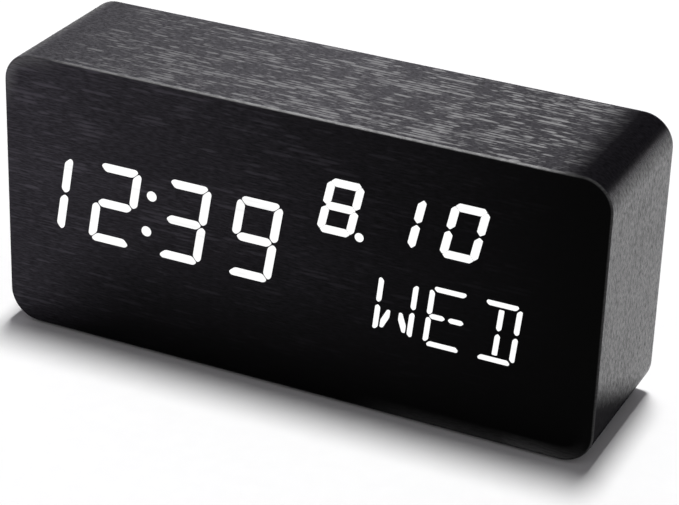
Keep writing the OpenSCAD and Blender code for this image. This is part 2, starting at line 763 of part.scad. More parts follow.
module rear_cover() {
    color([0.07, 0.07, 0.075]) difference() {
        cover_solid();
        box_at([bay_x, mid_z], bay_l, bay_h, bay_floor_y, cover_out_y + past);
        box_at([bay_x, mid_z], door_w + 2 * door_gap, door_h + 2 * door_gap, cover_in_y, cover_out_y + past);
        rod_x(hinge_r + hinge_play, bay_x - door_w / 2 - hinge_l - door_gap,
            bay_x + door_w / 2 + hinge_l + door_gap, hinge_y, hinge_z);
        box_at([bay_x, mid_z + door_h / 2], tongue_w + 2 * door_gap, 2 * (tongue_l + door_gap),
            cover_in_y, cover_out_y + past);
        rod_y([bay_x, mid_z + door_h / 2], scoop_r, cover_out_y - scoop_depth, cover_out_y + past);
        for (p = screw_spots) {
            rod_y(p, cover_screw_r + head_gap, cover_in_y - past, cover_out_y + past);
            rod_y(p, cover_head_r + head_gap, cover_out_y - cover_head_h, cover_out_y + past);
        }
        for (i = [-1:1])
            rod_y([control_x + i * button_pitch, button_row_z], button_r + button_gap, cover_in_y - past,
                cover_out_y + past);
        rod_y(inlet_spot, inlet_r + inlet_gap, cover_in_y - past, cover_out_y + past);
        rod_y(buzzer_spot, sound_r, cover_in_y - past, cover_out_y + past);
        for (a = [0:60:300])
            rod_y(buzzer_spot + sound_ring_r * [cos(a), sin(a)], sound_r, cover_in_y - past,
                cover_out_y + past);
        rod_y(mic_spot, sound_r, cover_in_y - past, cover_out_y + past);
        for (p = post_spots)
            rod_y(p, board_screw_r + screw_gap, control_out_y - past,
                control_out_y + board_grip + pilot_past);
        tail_slots(glue);
    }
}

module cover_screws() {
    color([0.35, 0.35, 0.37]) for (p = screw_spots)
        screw_to_rear(p, cover_screw_r, cover_head_r, cover_head_h, cover_out_y - cover_head_h,
            cover_t - cover_head_h + cover_grip);
}

// battery door: flat leaf, full-round hinge edge with stub pins, snap tongue between two slits
grip_count = 4;
grip_pitch = 1.6;
grip_w = 0.8;
grip_h = 0.4;
grip_margin = 1;
door_rib_h = 0.8;
door_rib_w = 1;
door_rib_inset = 3;

module battery_door() {
    leaf_mid_z = (hinge_z + mid_z + door_h / 2) / 2;
    color([0.08, 0.08, 0.085]) difference() {
        union() {
            box_at([bay_x, leaf_mid_z], door_w, mid_z + door_h / 2 - hinge_z, cover_out_y - door_t,
                cover_out_y);
            rod_x(door_t / 2, bay_x - door_w / 2, bay_x + door_w / 2, hinge_y, hinge_z);
            rod_x(hinge_r, bay_x - door_w / 2 - hinge_l, bay_x + door_w / 2 + hinge_l, hinge_y, hinge_z);
            box_at([bay_x, mid_z + door_h / 2], tongue_w, 2 * tongue_l, cover_out_y - door_t, cover_out_y);
            for (i = [1:grip_count])
                box_at([bay_x, mid_z + door_h / 2 - i * grip_pitch], tongue_w - 2 * grip_margin, grip_w,
                    cover_out_y - seam, cover_out_y + grip_h);
            for (i = [0:cell_count - 2])
                box_at([bay_x, row_z[i] + cell_pitch / 2], cell_l - 2 * door_rib_inset, door_rib_w,
                    cover_out_y - door_t - door_rib_h, cover_out_y - door_t / 2);
        }
        for (s = [-1, 1])
            box_at([bay_x + s * (tongue_w + slit_w) / 2, mid_z + door_h / 2 - slit_l / 2], slit_w,
                slit_l + seam, cover_out_y - door_t - past, cover_out_y + past);
    }
}

// contact plates: [end of the bay, first row, last row]; the single ones carry a tail through the floor
left_end = -1;
right_end = 1;
plate_list = [[left_end, 2, 2], [left_end, 0, 1], [right_end, 1, 2], [right_end, 0, 0]];
tail_list = [[left_end, 2], [right_end, 0]];
spring_list = [[left_end, 2], [right_end, 1], [left_end, 0]];
nub_list = [[right_end, 2], [left_end, 1], [right_end, 0]];
nub_r = 2.4;
nub_taper = 0.5;
tail_w = 3;
tail_l = 1.6;

function end_x(e) = e == left_end ? bay_left : bay_right;
function plate_x(e) = e == left_end ? bay_left : bay_right - contact_t;

module tail_slots(grow) {
    for (t = tail_list)
        box([plate_x(t[0]) - grow, bay_back_y - past, row_z[t[1]] - tail_w / 2 - grow],
            [plate_x(t[0]) + contact_t + grow, bay_floor_y + past, row_z[t[1]] + tail_w / 2 + grow]);
}

module contact_plates() {
    color([0.80, 0.78, 0.70]) {
        for (p = plate_list)
            box([plate_x(p[0]), bay_floor_y, row_z[p[1]] - contact_side / 2],
                [plate_x(p[0]) + contact_t, bay_floor_y + contact_side, row_z[p[2]] + contact_side / 2]);
        for (t = tail_list)
            box([plate_x(t[0]), bay_back_y - tail_l, row_z[t[1]] - tail_w / 2],
                [plate_x(t[0]) + contact_t, bay_floor_y + past, row_z[t[1]] + tail_w / 2]);
        for (n = nub_list)
            translate([end_x(n[0]) - n[0] * contact_t / 2, bay_floor_y + cell_d / 2, row_z[n[1]]])
                rotate([0, -90 * n[0], 0])
                    cylinder(r1 = nub_r, r2 = nub_r - nub_taper, h = nub_h + contact_t / 2);
    }
}

// a spring's wire leaves its plate squarely, bends into a narrowing coil and ends square to the cell
wire_sides = 6;
rings_a_turn = 8;
bend_r = 2 * spring_wire_r;
coil_u0 = 2 * spring_wire_r + bend_r;
coil_u1 = spring_l - coil_u0;
coil_steps = spring_turns * rings_a_turn;
coil_points = [for (i = [0:coil_steps])
    let (f = i / coil_steps, a = 360 * spring_turns * f,
        r = spring_base_r + (spring_tip_r - spring_base_r) * f)
    [coil_u0 + (coil_u1 - coil_u0) * f, r * cos(a), r * sin(a)]];
lead_in = [for (u = [0, spring_wire_r, 2 * spring_wire_r]) [u, spring_base_r, -bend_r]];
lead_bend = [[coil_u0 - bend_r * cos(45), spring_base_r, -bend_r * cos(45)]];
last_a = 360 * spring_turns;
tip_dir = [0, -sin(last_a), cos(last_a)];
tip_at = [coil_u1, spring_tip_r * cos(last_a), spring_tip_r * sin(last_a)];
lead_out = [for (s = [[bend_r * (1 - cos(45)), bend_r * sin(45)], [bend_r, bend_r],
    [bend_r + spring_wire_r, bend_r], [2 * bend_r, bend_r]]) tip_at + [s[0], 0, 0] + s[1] * tip_dir];
wire_path = concat(lead_in, lead_bend, coil_points, lead_out);
wire_last = len(wire_path) - 1;

function unit(v) = v / norm(v);
function wire_dir(i) = i < 2 || i > wire_last - 2 ? [1, 0, 0] : unit(wire_path[i + 1] - wire_path[i - 1]);
function outward(i) = unit([0, wire_path[i][1], wire_path[i][2]]);
function across(i) = unit(outward(i) - (outward(i) * wire_dir(i)) * wire_dir(i));
wire_rings = [for (i = [0:wire_last], k = [0:wire_sides - 1])
    let (a = 360 * k / wire_sides)
    wire_path[i] + spring_wire_r * (cos(a) * across(i) + sin(a) * cross(wire_dir(i), across(i)))];
wire_faces = concat(
    [[for (k = [0:wire_sides - 1]) k]],
    [[for (k = [wire_sides - 1:-1:0]) wire_last * wire_sides + k]],
    [for (i = [0:wire_last - 1], k = [0:wire_sides - 1])
        let (n = (k + 1) % wire_sides)
        [i * wire_sides + n, i * wire_sides + k, (i + 1) * wire_sides + k, (i + 1) * wire_sides + n]]);
wire_gap = min([for (i = [0:wire_last], j = [i:wire_last]) if (j - i > rings_a_turn / 2)
    norm(wire_path[i] - wire_path[j])]) - 2 * spring_wire_r;
echo(spring_wire_gap_mm = wire_gap);

module battery_springs() {
    color([0.82, 0.82, 0.84]) for (s = spring_list)
        translate([end_x(s[0]) - s[0] * contact_t, bay_floor_y + cell_d / 2, row_z[s[1]]])
            rotate([0, s[0] == left_end ? 0 : 180, 0]) polyhedron(points = wire_rings, faces = wire_faces);
}

// button caps with a softened rim and a raised mark
cap_round = 0.6;
mark_h = 0.25;
mark_r = 0.9;
arrow_w = 2.8;
arrow_foot = 0.8;
arrow_tip = 1.4;

module button_at(i) {
    translate([control_x + i * button_pitch, 0, button_row_z]) rotate([-90, 0, 0]) rotate_extrude() {
        translate([0, collar_in_y]) square([collar_r, collar_t]);
        translate([0, collar_in_y]) square([button_r - cap_round, cover_out_y + button_rise - collar_in_y]);
        translate([0, collar_in_y]) square([button_r, cover_out_y + button_rise - cap_round - collar_in_y]);
        translate([button_r - cap_round, cover_out_y + button_rise - cap_round]) intersection() {
            circle(r = cap_round);
            square(cap_round);
        }
    }
}

// arrow mark that points up for s = 1 and down for s = -1
module arrow_at(i, s) {
    translate([control_x + i * button_pitch, 0, button_row_z])
        along_y(cover_out_y + button_rise - mark_h, cover_out_y + button_rise + mark_h)
            polygon([[-arrow_w / 2, -arrow_foot * s], [arrow_w / 2, -arrow_foot * s], [0, arrow_tip * s]]);
}

module set_button() {
    color([0.13, 0.13, 0.14]) {
        button_at(1);
        rod_y([control_x + button_pitch, button_row_z], mark_r, cover_out_y,
            cover_out_y + button_rise + mark_h);
    }
}

module up_button() {
    color([0.13, 0.13, 0.14]) {
        button_at(0);
        arrow_at(0, 1);
    }
}

module down_button() {
    color([0.13, 0.13, 0.14]) {
        button_at(-1);
        arrow_at(-1, -1);
    }
}

module plunger_at(i) {
    color([0.55, 0.10, 0.09])
        rod_y([control_x + i * button_pitch, button_row_z], plunger_r, plunger_foot_y, collar_in_y);
}

module set_plunger() {
    plunger_at(1);
}

module up_plunger() {
    plunger_at(0);
}

module down_plunger() {
    plunger_at(-1);
}

module push_switches() {
    color([0.10, 0.10, 0.10]) for (i = [-1:1]) difference() {
        box_at([control_x + i * button_pitch, button_row_z], switch_side, switch_side, control_out_y,
            control_out_y + switch_h);
        rod_y([control_x + i * button_pitch, button_row_z], plunger_r + plunger_gap,
            plunger_foot_y - plunger_room, control_out_y + switch_h + past);
    }
}

module control_board() {
    color([0.06, 0.28, 0.14]) difference() {
        box_at([control_x, mid_z], control_w, control_h, control_in_y, control_out_y);
        for (p = post_spots) rod_y(p, board_screw_r + head_gap, control_in_y - past, control_out_y + past);
    }
}

module control_screws() {
    color([0.75, 0.75, 0.77]) mirror([0, 1, 0]) for (p = post_spots)
        screw_to_rear(p, board_screw_r, board_head_r, board_head_h, -control_in_y, board_t + board_grip);
}

module power_inlet() {
    color([0.09, 0.09, 0.09]) difference() {
        union() {
            box_at(inlet_spot, inlet_side, inlet_side, control_out_y, cover_in_y - past);
            rod_y(inlet_spot, inlet_r, control_out_y + past, inlet_mouth_y);
        }
        rod_y(inlet_spot, inlet_bore_r, inlet_floor_y, inlet_mouth_y + past);
    }
}

module inlet_pin() {
    color([0.83, 0.70, 0.35]) rod_y(inlet_spot, inlet_pin_r, inlet_floor_y, inlet_mouth_y - pin_inset);
}

buzzer_hole_r = 1;
buzzer_hole_l = 1.5;

module buzzer() {
    color([0.07, 0.07, 0.07]) difference() {
        rod_y(buzzer_spot, buzzer_r, control_out_y, control_out_y + buzzer_h);
        rod_y(buzzer_spot, buzzer_hole_r, control_out_y + buzzer_h - buzzer_hole_l,
            control_out_y + buzzer_h + past);
    }
}

module mic_boot() {
    color([0.16, 0.16, 0.16]) difference() {
        rod_y(mic_spot, mic_r + screw_gap + boot_wall, control_out_y, cover_in_y);
        rod_y(mic_spot, mic_r + screw_gap, cover_in_y - mic_h - screw_gap, cover_in_y + past);
    }
}

module microphone() {
    color([0.70, 0.70, 0.72]) rod_y(mic_spot, mic_r, cover_in_y - mic_h - screw_gap, cover_in_y - screw_gap);
}

// backup cell in an open cup on the inner side of the control board
coin_shift = -3;
coin_x = control_x + coin_shift;
cup_wall = 2;
cup_side = 2 * (coin_r + cup_wall);
cup_floor = 1;
coin_play = 0.15;
clip_w = 5;
clip_t = 0.4;
cup_in_y = control_in_y - cup_floor - coin_t;

module cell_cup() {
    color([0.12, 0.12, 0.13]) difference() {
        box_at([coin_x, mid_z], cup_side, cup_side, cup_in_y, control_in_y);
        rod_y([coin_x, mid_z], coin_r + coin_play, cup_in_y - past, control_in_y - cup_floor);
    }
}

module coin_cell() {
    color([0.78, 0.78, 0.80]) rod_y([coin_x, mid_z], coin_r, cup_in_y, control_in_y - cup_floor);
}

module cell_clip() {
    color([0.80, 0.80, 0.76]) box_at([coin_x, mid_z], cup_side, clip_w, cup_in_y - clip_t, cup_in_y);
}

capacitor_spot = [16, -9];
capacitor_r = 3.1;
capacitor_l = 7;

module capacitor() {
    color([0.10, 0.12, 0.25])
        rod_y([control_x + capacitor_spot[0], mid_z + capacitor_spot[1]], capacitor_r,
            control_in_y - capacitor_l, control_in_y);
}

// ribbon between the boards: an S of two quarter bends with a plug at each end
ribbon_w = 12;
ribbon_t = 0.8;
ribbon_bend = 2.5;
plug_l = 4;
plug_t = 4;
plug_wall = 1;
ribbon_lift = 6;
ribbon_shift = 17.5;
ribbon_step = 8;
ribbon_z = mid_z + ribbon_lift;
ribbon_x1 = control_x + ribbon_shift;
ribbon_x0 = ribbon_x1 - ribbon_step;
ribbon_y0 = display_rear_y + plug_l;
ribbon_y1 = control_in_y - plug_l;
ribbon_mid_y = (ribbon_y0 + ribbon_y1) / 2;

module ribbon_plugs() {
    color([0.90, 0.89, 0.85]) {
        box_at([ribbon_x0, ribbon_z], plug_t, ribbon_w + 2 * plug_wall, display_rear_y, ribbon_y0);
        box_at([ribbon_x1, ribbon_z], plug_t, ribbon_w + 2 * plug_wall, ribbon_y1, control_in_y);
    }
}

module quarter_ring(at, turn) {
    translate(at) rotate(turn) intersection() {
        difference() {
            circle(r = ribbon_bend + ribbon_t / 2);
            circle(r = ribbon_bend - ribbon_t / 2);
        }
        square(2 * ribbon_bend);
    }
}

module board_ribbon() {
    color([0.62, 0.63, 0.66]) translate([0, 0, ribbon_z - ribbon_w / 2]) linear_extrude(height = ribbon_w) {
        translate([ribbon_x0 - ribbon_t / 2, ribbon_y0])
            square([ribbon_t, ribbon_mid_y - ribbon_bend - ribbon_y0]);
        quarter_ring([ribbon_x0 + ribbon_bend, ribbon_mid_y - ribbon_bend], 90);
        translate([ribbon_x0 + ribbon_bend, ribbon_mid_y - ribbon_t / 2])
            square([ribbon_x1 - ribbon_x0 - 2 * ribbon_bend, ribbon_t]);
        quarter_ring([ribbon_x1 - ribbon_bend, ribbon_mid_y + ribbon_bend], 270);
        translate([ribbon_x1 - ribbon_t / 2, ribbon_mid_y + ribbon_bend])
            square([ribbon_t, ribbon_y1 - ribbon_mid_y - ribbon_bend]);
    }
}

// battery leads: from a contact's tail along the bay's back, then into the control board
lead_r = 0.65;
lead_bend_r = 2;
lead_inset = 3;
lead_air = 0.1;
lead_end_x = control_x - control_w / 2 + lead_inset;
lead_y = bay_back_y - lead_r - lead_air;

module battery_lead(x0, z) {
    rod_x(lead_r, x0, lead_end_x - lead_bend_r, lead_y, z);
    translate([lead_end_x - lead_bend_r, lead_y + lead_bend_r, z]) rotate([0, 0, -90])
        rotate_extrude(angle = 90) translate([lead_bend_r, 0]) circle(r = lead_r);
    rod_y([lead_end_x, z], lead_r, lead_y + lead_bend_r, control_in_y);
}

module negative_lead() {
    color([0.08, 0.08, 0.08]) battery_lead(bay_left + contact_t, row_z[2]);
}

module positive_lead() {
    color([0.65, 0.06, 0.05]) battery_lead(bay_right, row_z[0]);
}

case_block();
wrap_veneer();
front_veneer();
corner_blocks();
foot_pads();
diffuser_film();
segment_reflector();
time_guides();
date_guides();
weekday_guides();
dark_guides();
module_tape();
display_board();
display_leds();
display_screws();
controller_chip();
driver_chips();
chip_legs();
timing_crystal();
resistors();
rear_cover();
cover_screws();
battery_door();
contact_plates();
battery_springs();
set_button();
up_button();
down_button();
set_plunger();
up_plunger();
down_plunger();
push_switches();
control_board();
control_screws();
power_inlet();
inlet_pin();
buzzer();
mic_boot();
microphone();
cell_cup();
coin_cell();
cell_clip();
capacitor();
ribbon_plugs();
board_ribbon();
negative_lead();
positive_lead();
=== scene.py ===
import math

import bmesh
import bpy
from mathutils import Matrix, Vector, geometry


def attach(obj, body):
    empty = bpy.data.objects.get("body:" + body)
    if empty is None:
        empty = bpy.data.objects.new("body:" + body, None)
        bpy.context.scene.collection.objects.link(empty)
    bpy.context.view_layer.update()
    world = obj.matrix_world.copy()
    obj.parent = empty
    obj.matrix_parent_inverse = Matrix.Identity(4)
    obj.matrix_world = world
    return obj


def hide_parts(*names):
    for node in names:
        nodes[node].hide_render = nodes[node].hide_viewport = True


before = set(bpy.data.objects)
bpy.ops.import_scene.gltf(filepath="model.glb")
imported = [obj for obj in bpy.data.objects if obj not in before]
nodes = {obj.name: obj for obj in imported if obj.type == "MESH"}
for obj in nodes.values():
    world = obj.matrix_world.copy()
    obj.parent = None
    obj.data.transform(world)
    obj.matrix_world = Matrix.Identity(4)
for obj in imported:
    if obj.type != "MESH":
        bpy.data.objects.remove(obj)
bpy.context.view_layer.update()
scene = bpy.context.scene
scene.view_settings.view_transform = "Standard"
mm = 0.001

# faces that several pieces share, in millimetres
clock = {
    "width": 150.0,
    "height": 69.4,
    "corner": 7.5,
    "frontY": -20.0,
    "rearY": 20.0,
    "sheet": 0.6,
    "bevel": 0.35,
    "midZ": 35.3,
    "coverY": 18.4,
    "cornerSteps": 20,
    "straightSteps": 48,
}
# edges that turn more than this stay sharp, in degrees
sharpFrom = {"veneer": 25, "moulding": 40, "turned": 35}


# small tools

def setInputs(tree, node, values):
    for key, value in values.items():
        if isinstance(value, bpy.types.NodeSocket):
            tree.links.new(value, node.inputs[key])
        else:
            node.inputs[key].default_value = value


def addNode(tree, kind, inputs=None, **settings):
    node = tree.nodes.new(kind)
    for key, value in settings.items():
        setattr(node, key, value)
    setInputs(tree, node, inputs or {})
    return node


def newPiece(name, mesh, material):
    mesh.name = name
    mesh.materials.clear()
    mesh.materials.append(material)
    piece = bpy.data.objects.new(name, mesh)
    scene.collection.objects.link(piece)
    return piece


def smoothed(mesh, angle):
    mesh.shade_smooth()
    mesh.set_sharp_from_angle(angle=math.radians(angle))
    return mesh


def meshFrom(bm, smoothAngle=None, scale=mm):
    bmesh.ops.recalc_face_normals(bm, faces=bm.faces)
    mesh = bpy.data.meshes.new("part")
    for vert in bm.verts:
        vert.co *= scale
    bm.to_mesh(mesh)
    bm.free()
    return mesh if smoothAngle is None else smoothed(mesh, smoothAngle)


def settled(carrier, modifier):
    # the mesh that a modifier makes, without the modifier
    graph = bpy.context.evaluated_depsgraph_get()
    result = bpy.data.meshes.new_from_object(carrier.evaluated_get(graph))
    carrier.modifiers.remove(modifier)
    bpy.data.objects.remove(carrier)
    return result


def ringOf(bm, points):
    return [bm.verts.new(p) for p in points]


def bridge(bm, ringA, ringB):
    count = len(ringA)
    return [bm.faces.new((ringA[i], ringA[(i + 1) % count], ringB[(i + 1) % count], ringB[i]))
            for i in range(count)]


def turnsOf(segments):
    return [2 * math.pi * i / segments for i in range(segments)]


def lathe(bm, profile, segments, place):
    # profile is a list of (radius, height) from the foot's axis to the top's axis, turned about +Y
    rings = []
    for radius, height in profile:
        if radius < 1e-6:
            rings.append([bm.verts.new(place(0, height, 0))])
        else:
            rings.append(ringOf(bm, [place(radius * math.cos(a), height, radius * math.sin(a))
                                     for a in turnsOf(segments)]))
    for low, high in zip(rings, rings[1:]):
        if len(low) == 1:
            for i in range(segments):
                bm.faces.new((low[0], high[i], high[(i + 1) % segments]))
        elif len(high) == 1:
            for i in range(segments):
                bm.faces.new((low[i], high[0], low[(i + 1) % segments]))
        else:
            bridge(bm, low, high)


def roundRect(width, height, radius, steps, straightSteps):
    # each corner's arc and the straight after it, anticlockwise seen from the front, from the lower right
    arcs = []
    for sx, sz, start in ((1, -1, -90), (1, 1, 0), (-1, 1, 90), (-1, -1, 180)):
        centre = Vector((sx * (width / 2 - radius), sz * (height / 2 - radius)))
        turns = [math.radians(start + 90 * i / steps) for i in range(steps + 1)]
        arcs.append([centre + Vector((math.cos(a), math.sin(a))) * radius for a in turns])
    points = []
    for arc, after in zip(arcs, arcs[1:] + arcs[:1]):
        points += arc + [arc[-1].lerp(after[0], i / straightSteps) for i in range(1, straightSteps)]
    return points


def eased(value, low, high):
    t = max(0.0, min(1.0, (value - low) / (high - low)))
    return t * t * (3 - 2 * t)


# shader groups

def newGroup(name, sizes, outputs):
    # a group that reads a vector and named sizes
    group = bpy.data.node_groups.new(name, "ShaderNodeTree")
    group.interface.new_socket("Vector", in_out="INPUT", socket_type="NodeSocketVector")
    for label in sizes:
        group.interface.new_socket(label, in_out="INPUT", socket_type="NodeSocketFloat")
    for label in outputs:
        group.interface.new_socket(label, in_out="OUTPUT", socket_type="NodeSocketFloat")
    return group, group.nodes.new("NodeGroupInput").outputs, group.nodes.new("NodeGroupOutput")


def noise(tree, vector, detail=2.0, roughness=0.5):
    return addNode(tree, "ShaderNodeTexNoise", {
        "Vector": vector, "Scale": 1.0, "Detail": detail, "Roughness": roughness}).outputs[0]


def stretch(tree, vector, along, across, shift):
    # vector over (along, across), moved aside so that no two patterns match
    sizes = addNode(tree, "ShaderNodeCombineXYZ", {"X": along, "Y": across, "Z": across})
    scaled = addNode(tree, "ShaderNodeVectorMath", {0: vector, 1: sizes.outputs[0]}, operation="DIVIDE")
    aside = (shift, shift * 0.7, shift * 1.3)
    return addNode(tree, "ShaderNodeVectorMath", {0: scaled.outputs[0], 1: aside}, operation="ADD").outputs[0]


def spread(tree, value, low, high, toLow=0.0, toHigh=1.0):
    return addNode(tree, "ShaderNodeMapRange", {
        "Value": value, "From Min": low, "From Max": high, "To Min": toLow, "To Max": toHigh,
    }, interpolation_type="SMOOTHSTEP").outputs[0]


def ramp(tree, mask, toLow, toHigh):
    return spread(tree, mask, 0.0, 1.0, toLow, toHigh)


def arithmetic(tree, operation, a, b, clamp=False):
    return addNode(tree, "ShaderNodeMath", {0: a, 1: b}, operation=operation, use_clamp=clamp).outputs[0]


def times(tree, a, b, clamp=False):
    return arithmetic(tree, "MULTIPLY", a, b, clamp)


def plus(tree, a, b):
    return arithmetic(tree, "ADD", a, b)


noiseSpan = (0.3, 0.7)  # a noise goes from none to full between these

# open-pored veneer, in dash lengths along the grain and row heights across it
pores = {
    "driftSize": (4.0, 8.0),
    "driftSpan": (0.35, 0.65),
    "drift": (0.05, -0.04),
    "waverSize": (8.0, 5.0),
    "waver": 0.4,
    "rowApart": 3.71,
    "thickFrom": 0.25,
    "thicker": 0.32,
    "cutSoft": 0.13,
    "rowGap": (0.02, 0.2),
    "coarseRows": (1.0, 1.0, 7.7),  # length, height and shift of their noise
    "fineRows": (0.55, 0.7, 31.3),
    "fineShare": 0.5,
    "fibreSize": (0.25, 0.35),
    "fibreRelief": 0.45,
    "cloudSize": (0.05, 0.018),  # metres
}


def makeGrainGroup():
    # x runs along the grain and y across it, both in metres; the pores lie in broken rows
    group, inlet, outlet = newGroup("veneerGrain", ["Dash Length", "Row Height", "Dash Level"],
                                    ["Dash", "Fibre", "Cloud", "Relief"])
    vector, length, height = inlet["Vector"], inlet["Dash Length"], inlet["Row Height"]
    places = addNode(group, "ShaderNodeSeparateXYZ", {0: vector}).outputs

    def field(size, shift, detail, roughness=0.5):
        along, across = times(group, length, size[0]), times(group, height, size[1])
        return noise(group, stretch(group, vector, along, across, shift), detail, roughness)

    drift = spread(group, field(pores["driftSize"], 11.7, 2.0), *pores["driftSpan"], *pores["drift"])
    level = plus(group, inlet["Dash Level"], drift)

    def dashRows(long, high, shift):
        # one noise along each row, cut off at the level
        waver = times(group, field(pores["waverSize"], shift, 1.0), pores["waver"])
        rows = plus(group, arithmetic(group, "DIVIDE", places[1], times(group, height, high)), waver)
        inRow = arithmetic(group, "PINGPONG", arithmetic(group, "FRACT", rows, 0.0), 0.5)
        cells = addNode(group, "ShaderNodeCombineXYZ", {
            "X": arithmetic(group, "DIVIDE", places[0], times(group, length, long)),
            "Y": times(group, arithmetic(group, "FLOOR", rows, 0.0), pores["rowApart"]), "Z": shift})
        swell = times(group, arithmetic(group, "SUBTRACT", inRow, pores["thickFrom"]), pores["thicker"])
        bar = spread(group, plus(group, noise(group, cells.outputs[0]), swell), level,
                     plus(group, level, pores["cutSoft"]))
        return times(group, bar, spread(group, inRow, *pores["rowGap"]))

    fine = times(group, dashRows(*pores["fineRows"]), pores["fineShare"])
    dash = arithmetic(group, "MAXIMUM", dashRows(*pores["coarseRows"]), fine)
    fibre = spread(group, field(pores["fibreSize"], 23.9, 3.0, 0.6), *noiseSpan)
    cloud = spread(group, noise(group, stretch(group, vector, *pores["cloudSize"], 41.3)), *noiseSpan)
    relief = plus(group, times(group, fibre, pores["fibreRelief"]), dash)
    setInputs(group, outlet, {"Dash": dash, "Fibre": fibre, "Cloud": cloud, "Relief": relief})
    return group


mottle = {"patchShare": 0.6, "speckleShare": 0.4, "patchRelief": 0.2, "bump": 0.3}


def makeMottleGroup():
    # moulded or pressed surface: coarse patches, fine speckle and its relief
    group, inlet, outlet = newGroup("surfaceMottle", ["Patch Size", "Speckle Size"],
                                    ["Patch", "Speckle", "Relief"])

    def blots(size, shift, detail):
        places = stretch(group, inlet["Vector"], size, size, shift)
        return spread(group, noise(group, places, detail), *noiseSpan)

    patch = blots(inlet["Patch Size"], 5.3, 3.0)
    speckle = blots(inlet["Speckle Size"], 17.9, 1.0)
    relief = plus(group, speckle, times(group, patch, mottle["patchRelief"]))
    setInputs(group, outlet, {"Patch": patch, "Speckle": speckle, "Relief": relief})
    return group


grainGroup = makeGrainGroup()
mottleGroup = makeMottleGroup()


# materials

def newMaterial(name):
    material = bpy.data.materials.new(name)
    material.use_nodes = True
    tree = material.node_tree
    return material, tree, tree.nodes["Principled BSDF"]


def mixColour(tree, factor, a, b):
    return addNode(tree, "ShaderNodeMix", {0: factor, 6: a, 7: b}, data_type="RGBA").outputs[2]


def attribute(tree, name):
    return addNode(tree, "ShaderNodeAttribute", attribute_name=name).outputs["Fac"]


def bumped(tree, height, strength, distance):
    return addNode(tree, "ShaderNodeBump", {
        "Strength": strength, "Distance": distance, "Height": height}).outputs[0]


def grey(value, warm=0.0):
    return (value * (1 + warm), value, value * (1 - warm), 1.0)


def plum(value):
    # the stain's black leans a little to purple
    return (value, value * 0.93, value * 1.12, 1.0)


def useGrain(tree, vector, look):
    return addNode(tree, "ShaderNodeGroup", {
        "Vector": vector, "Dash Length": look["dashLength"], "Row Height": look["rowHeight"],
        "Dash Level": look["dashLevel"]}, node_tree=grainGroup).outputs


def faceVector(tree):
    # x along the grain and z across it, for the flat front
    coords = addNode(tree, "ShaderNodeTexCoord").outputs["Object"]
    x, _, z = addNode(tree, "ShaderNodeSeparateXYZ", {0: coords}).outputs
    return x, z, addNode(tree, "ShaderNodeCombineXYZ", {"X": x, "Y": z}).outputs[0]


wrapLook = {
    "dashLength": 0.0050,
    "rowHeight": 0.00118,
    "dashLevel": 0.535,
    "dark": plum(0.004),
    "fibre": plum(0.010),
    "dash": grey(0.27),
    "edge": plum(0.10),
    "edgeClouds": (0.3, 1.0),
    "rough": (0.45, 0.6),
    "varnishSpread": (0.65, 1.35),
    "varnishRough": 0.21,
    "varnishIor": 1.58,
    "bump": (0.3, 0.00006),  # strength and height
}


def makeWrapMaterial():
    material, tree, shader = newMaterial("blackVeneer")
    grain = useGrain(tree, addNode(tree, "ShaderNodeUVMap", uv_map="grainUV").outputs[0], wrapLook)
    base = mixColour(tree, grain["Fibre"], wrapLook["dark"], wrapLook["fibre"])
    base = mixColour(tree, times(tree, grain["Dash"], attribute(tree, "poreShare")), base, wrapLook["dash"])
    # pale edge colour: partly wear, partly a painted highlight along the veneer's edges
    wearAndPaintedLight = times(tree, attribute(tree, "edgeWearAndHighlight"), ramp(tree, grain["Cloud"], *wrapLook["edgeClouds"]))
    # satin varnish: thinned at the bends as painted shade and at the lower front of the right end as a
    # painted shadow's reflection, and broken by specks on the ends
    varnish = times(tree, attribute(tree, "varnish"), ramp(tree, grain["Fibre"], *wrapLook["varnishSpread"]))
    loss = times(tree, times(tree, attribute(tree, "speckShare"), grain["Dash"]), varnish)
    setInputs(tree, shader, {
        "Base Color": mixColour(tree, wearAndPaintedLight, base, wrapLook["edge"]),
        "Roughness": ramp(tree, grain["Fibre"], *wrapLook["rough"]),
        "Coat Weight": arithmetic(tree, "SUBTRACT", varnish, loss, clamp=True),
        "Coat Roughness": wrapLook["varnishRough"],
        "Coat IOR": wrapLook["varnishIor"],
        "Specular IOR Level": 0.0,
        "Normal": bumped(tree, grain["Relief"], *wrapLook["bump"]),
    })
    return material


# the fades give two places in metres and the share at each; they paint light on the front, lighter towards
# the upper left and down the left edge, and paint shade low down
frontLook = {
    "dashLength": 0.0080,
    "rowHeight": 0.0010,
    "dashLevel": 0.59,
    # dark is the front's own black, light the colour of the painted light on it
    "dark": grey(0.0010),
    "light": plum(0.025),
    "fibre": plum(0.054),
    "fibreShare": 0.8,
    "dash": plum(0.090),
    "dashShare": 0.6,
    "paintedLightAcross": (-0.088, 0.026, 0.8, 0.0),
    "paintedLightFar": (0.0, 0.075, 0.2, 0.0),
    "paintedLightLeftEdge": (-0.105, -0.035, 0.040, 0.0),
    "paintedShadeLow": (0.005, 0.040, 0.05, 1.0),
    "clouds": (0.8, 1.0),
    "edge": grey(0.38),
    "edgeFade": (-0.07, 0.01, 0.5, 1.0),
    "edgeFibre": (0.6, 1.0),
    "rough": (0.42, 0.55),
    "gloss": 0.02,
    "bump": (0.2, 0.00003),
}


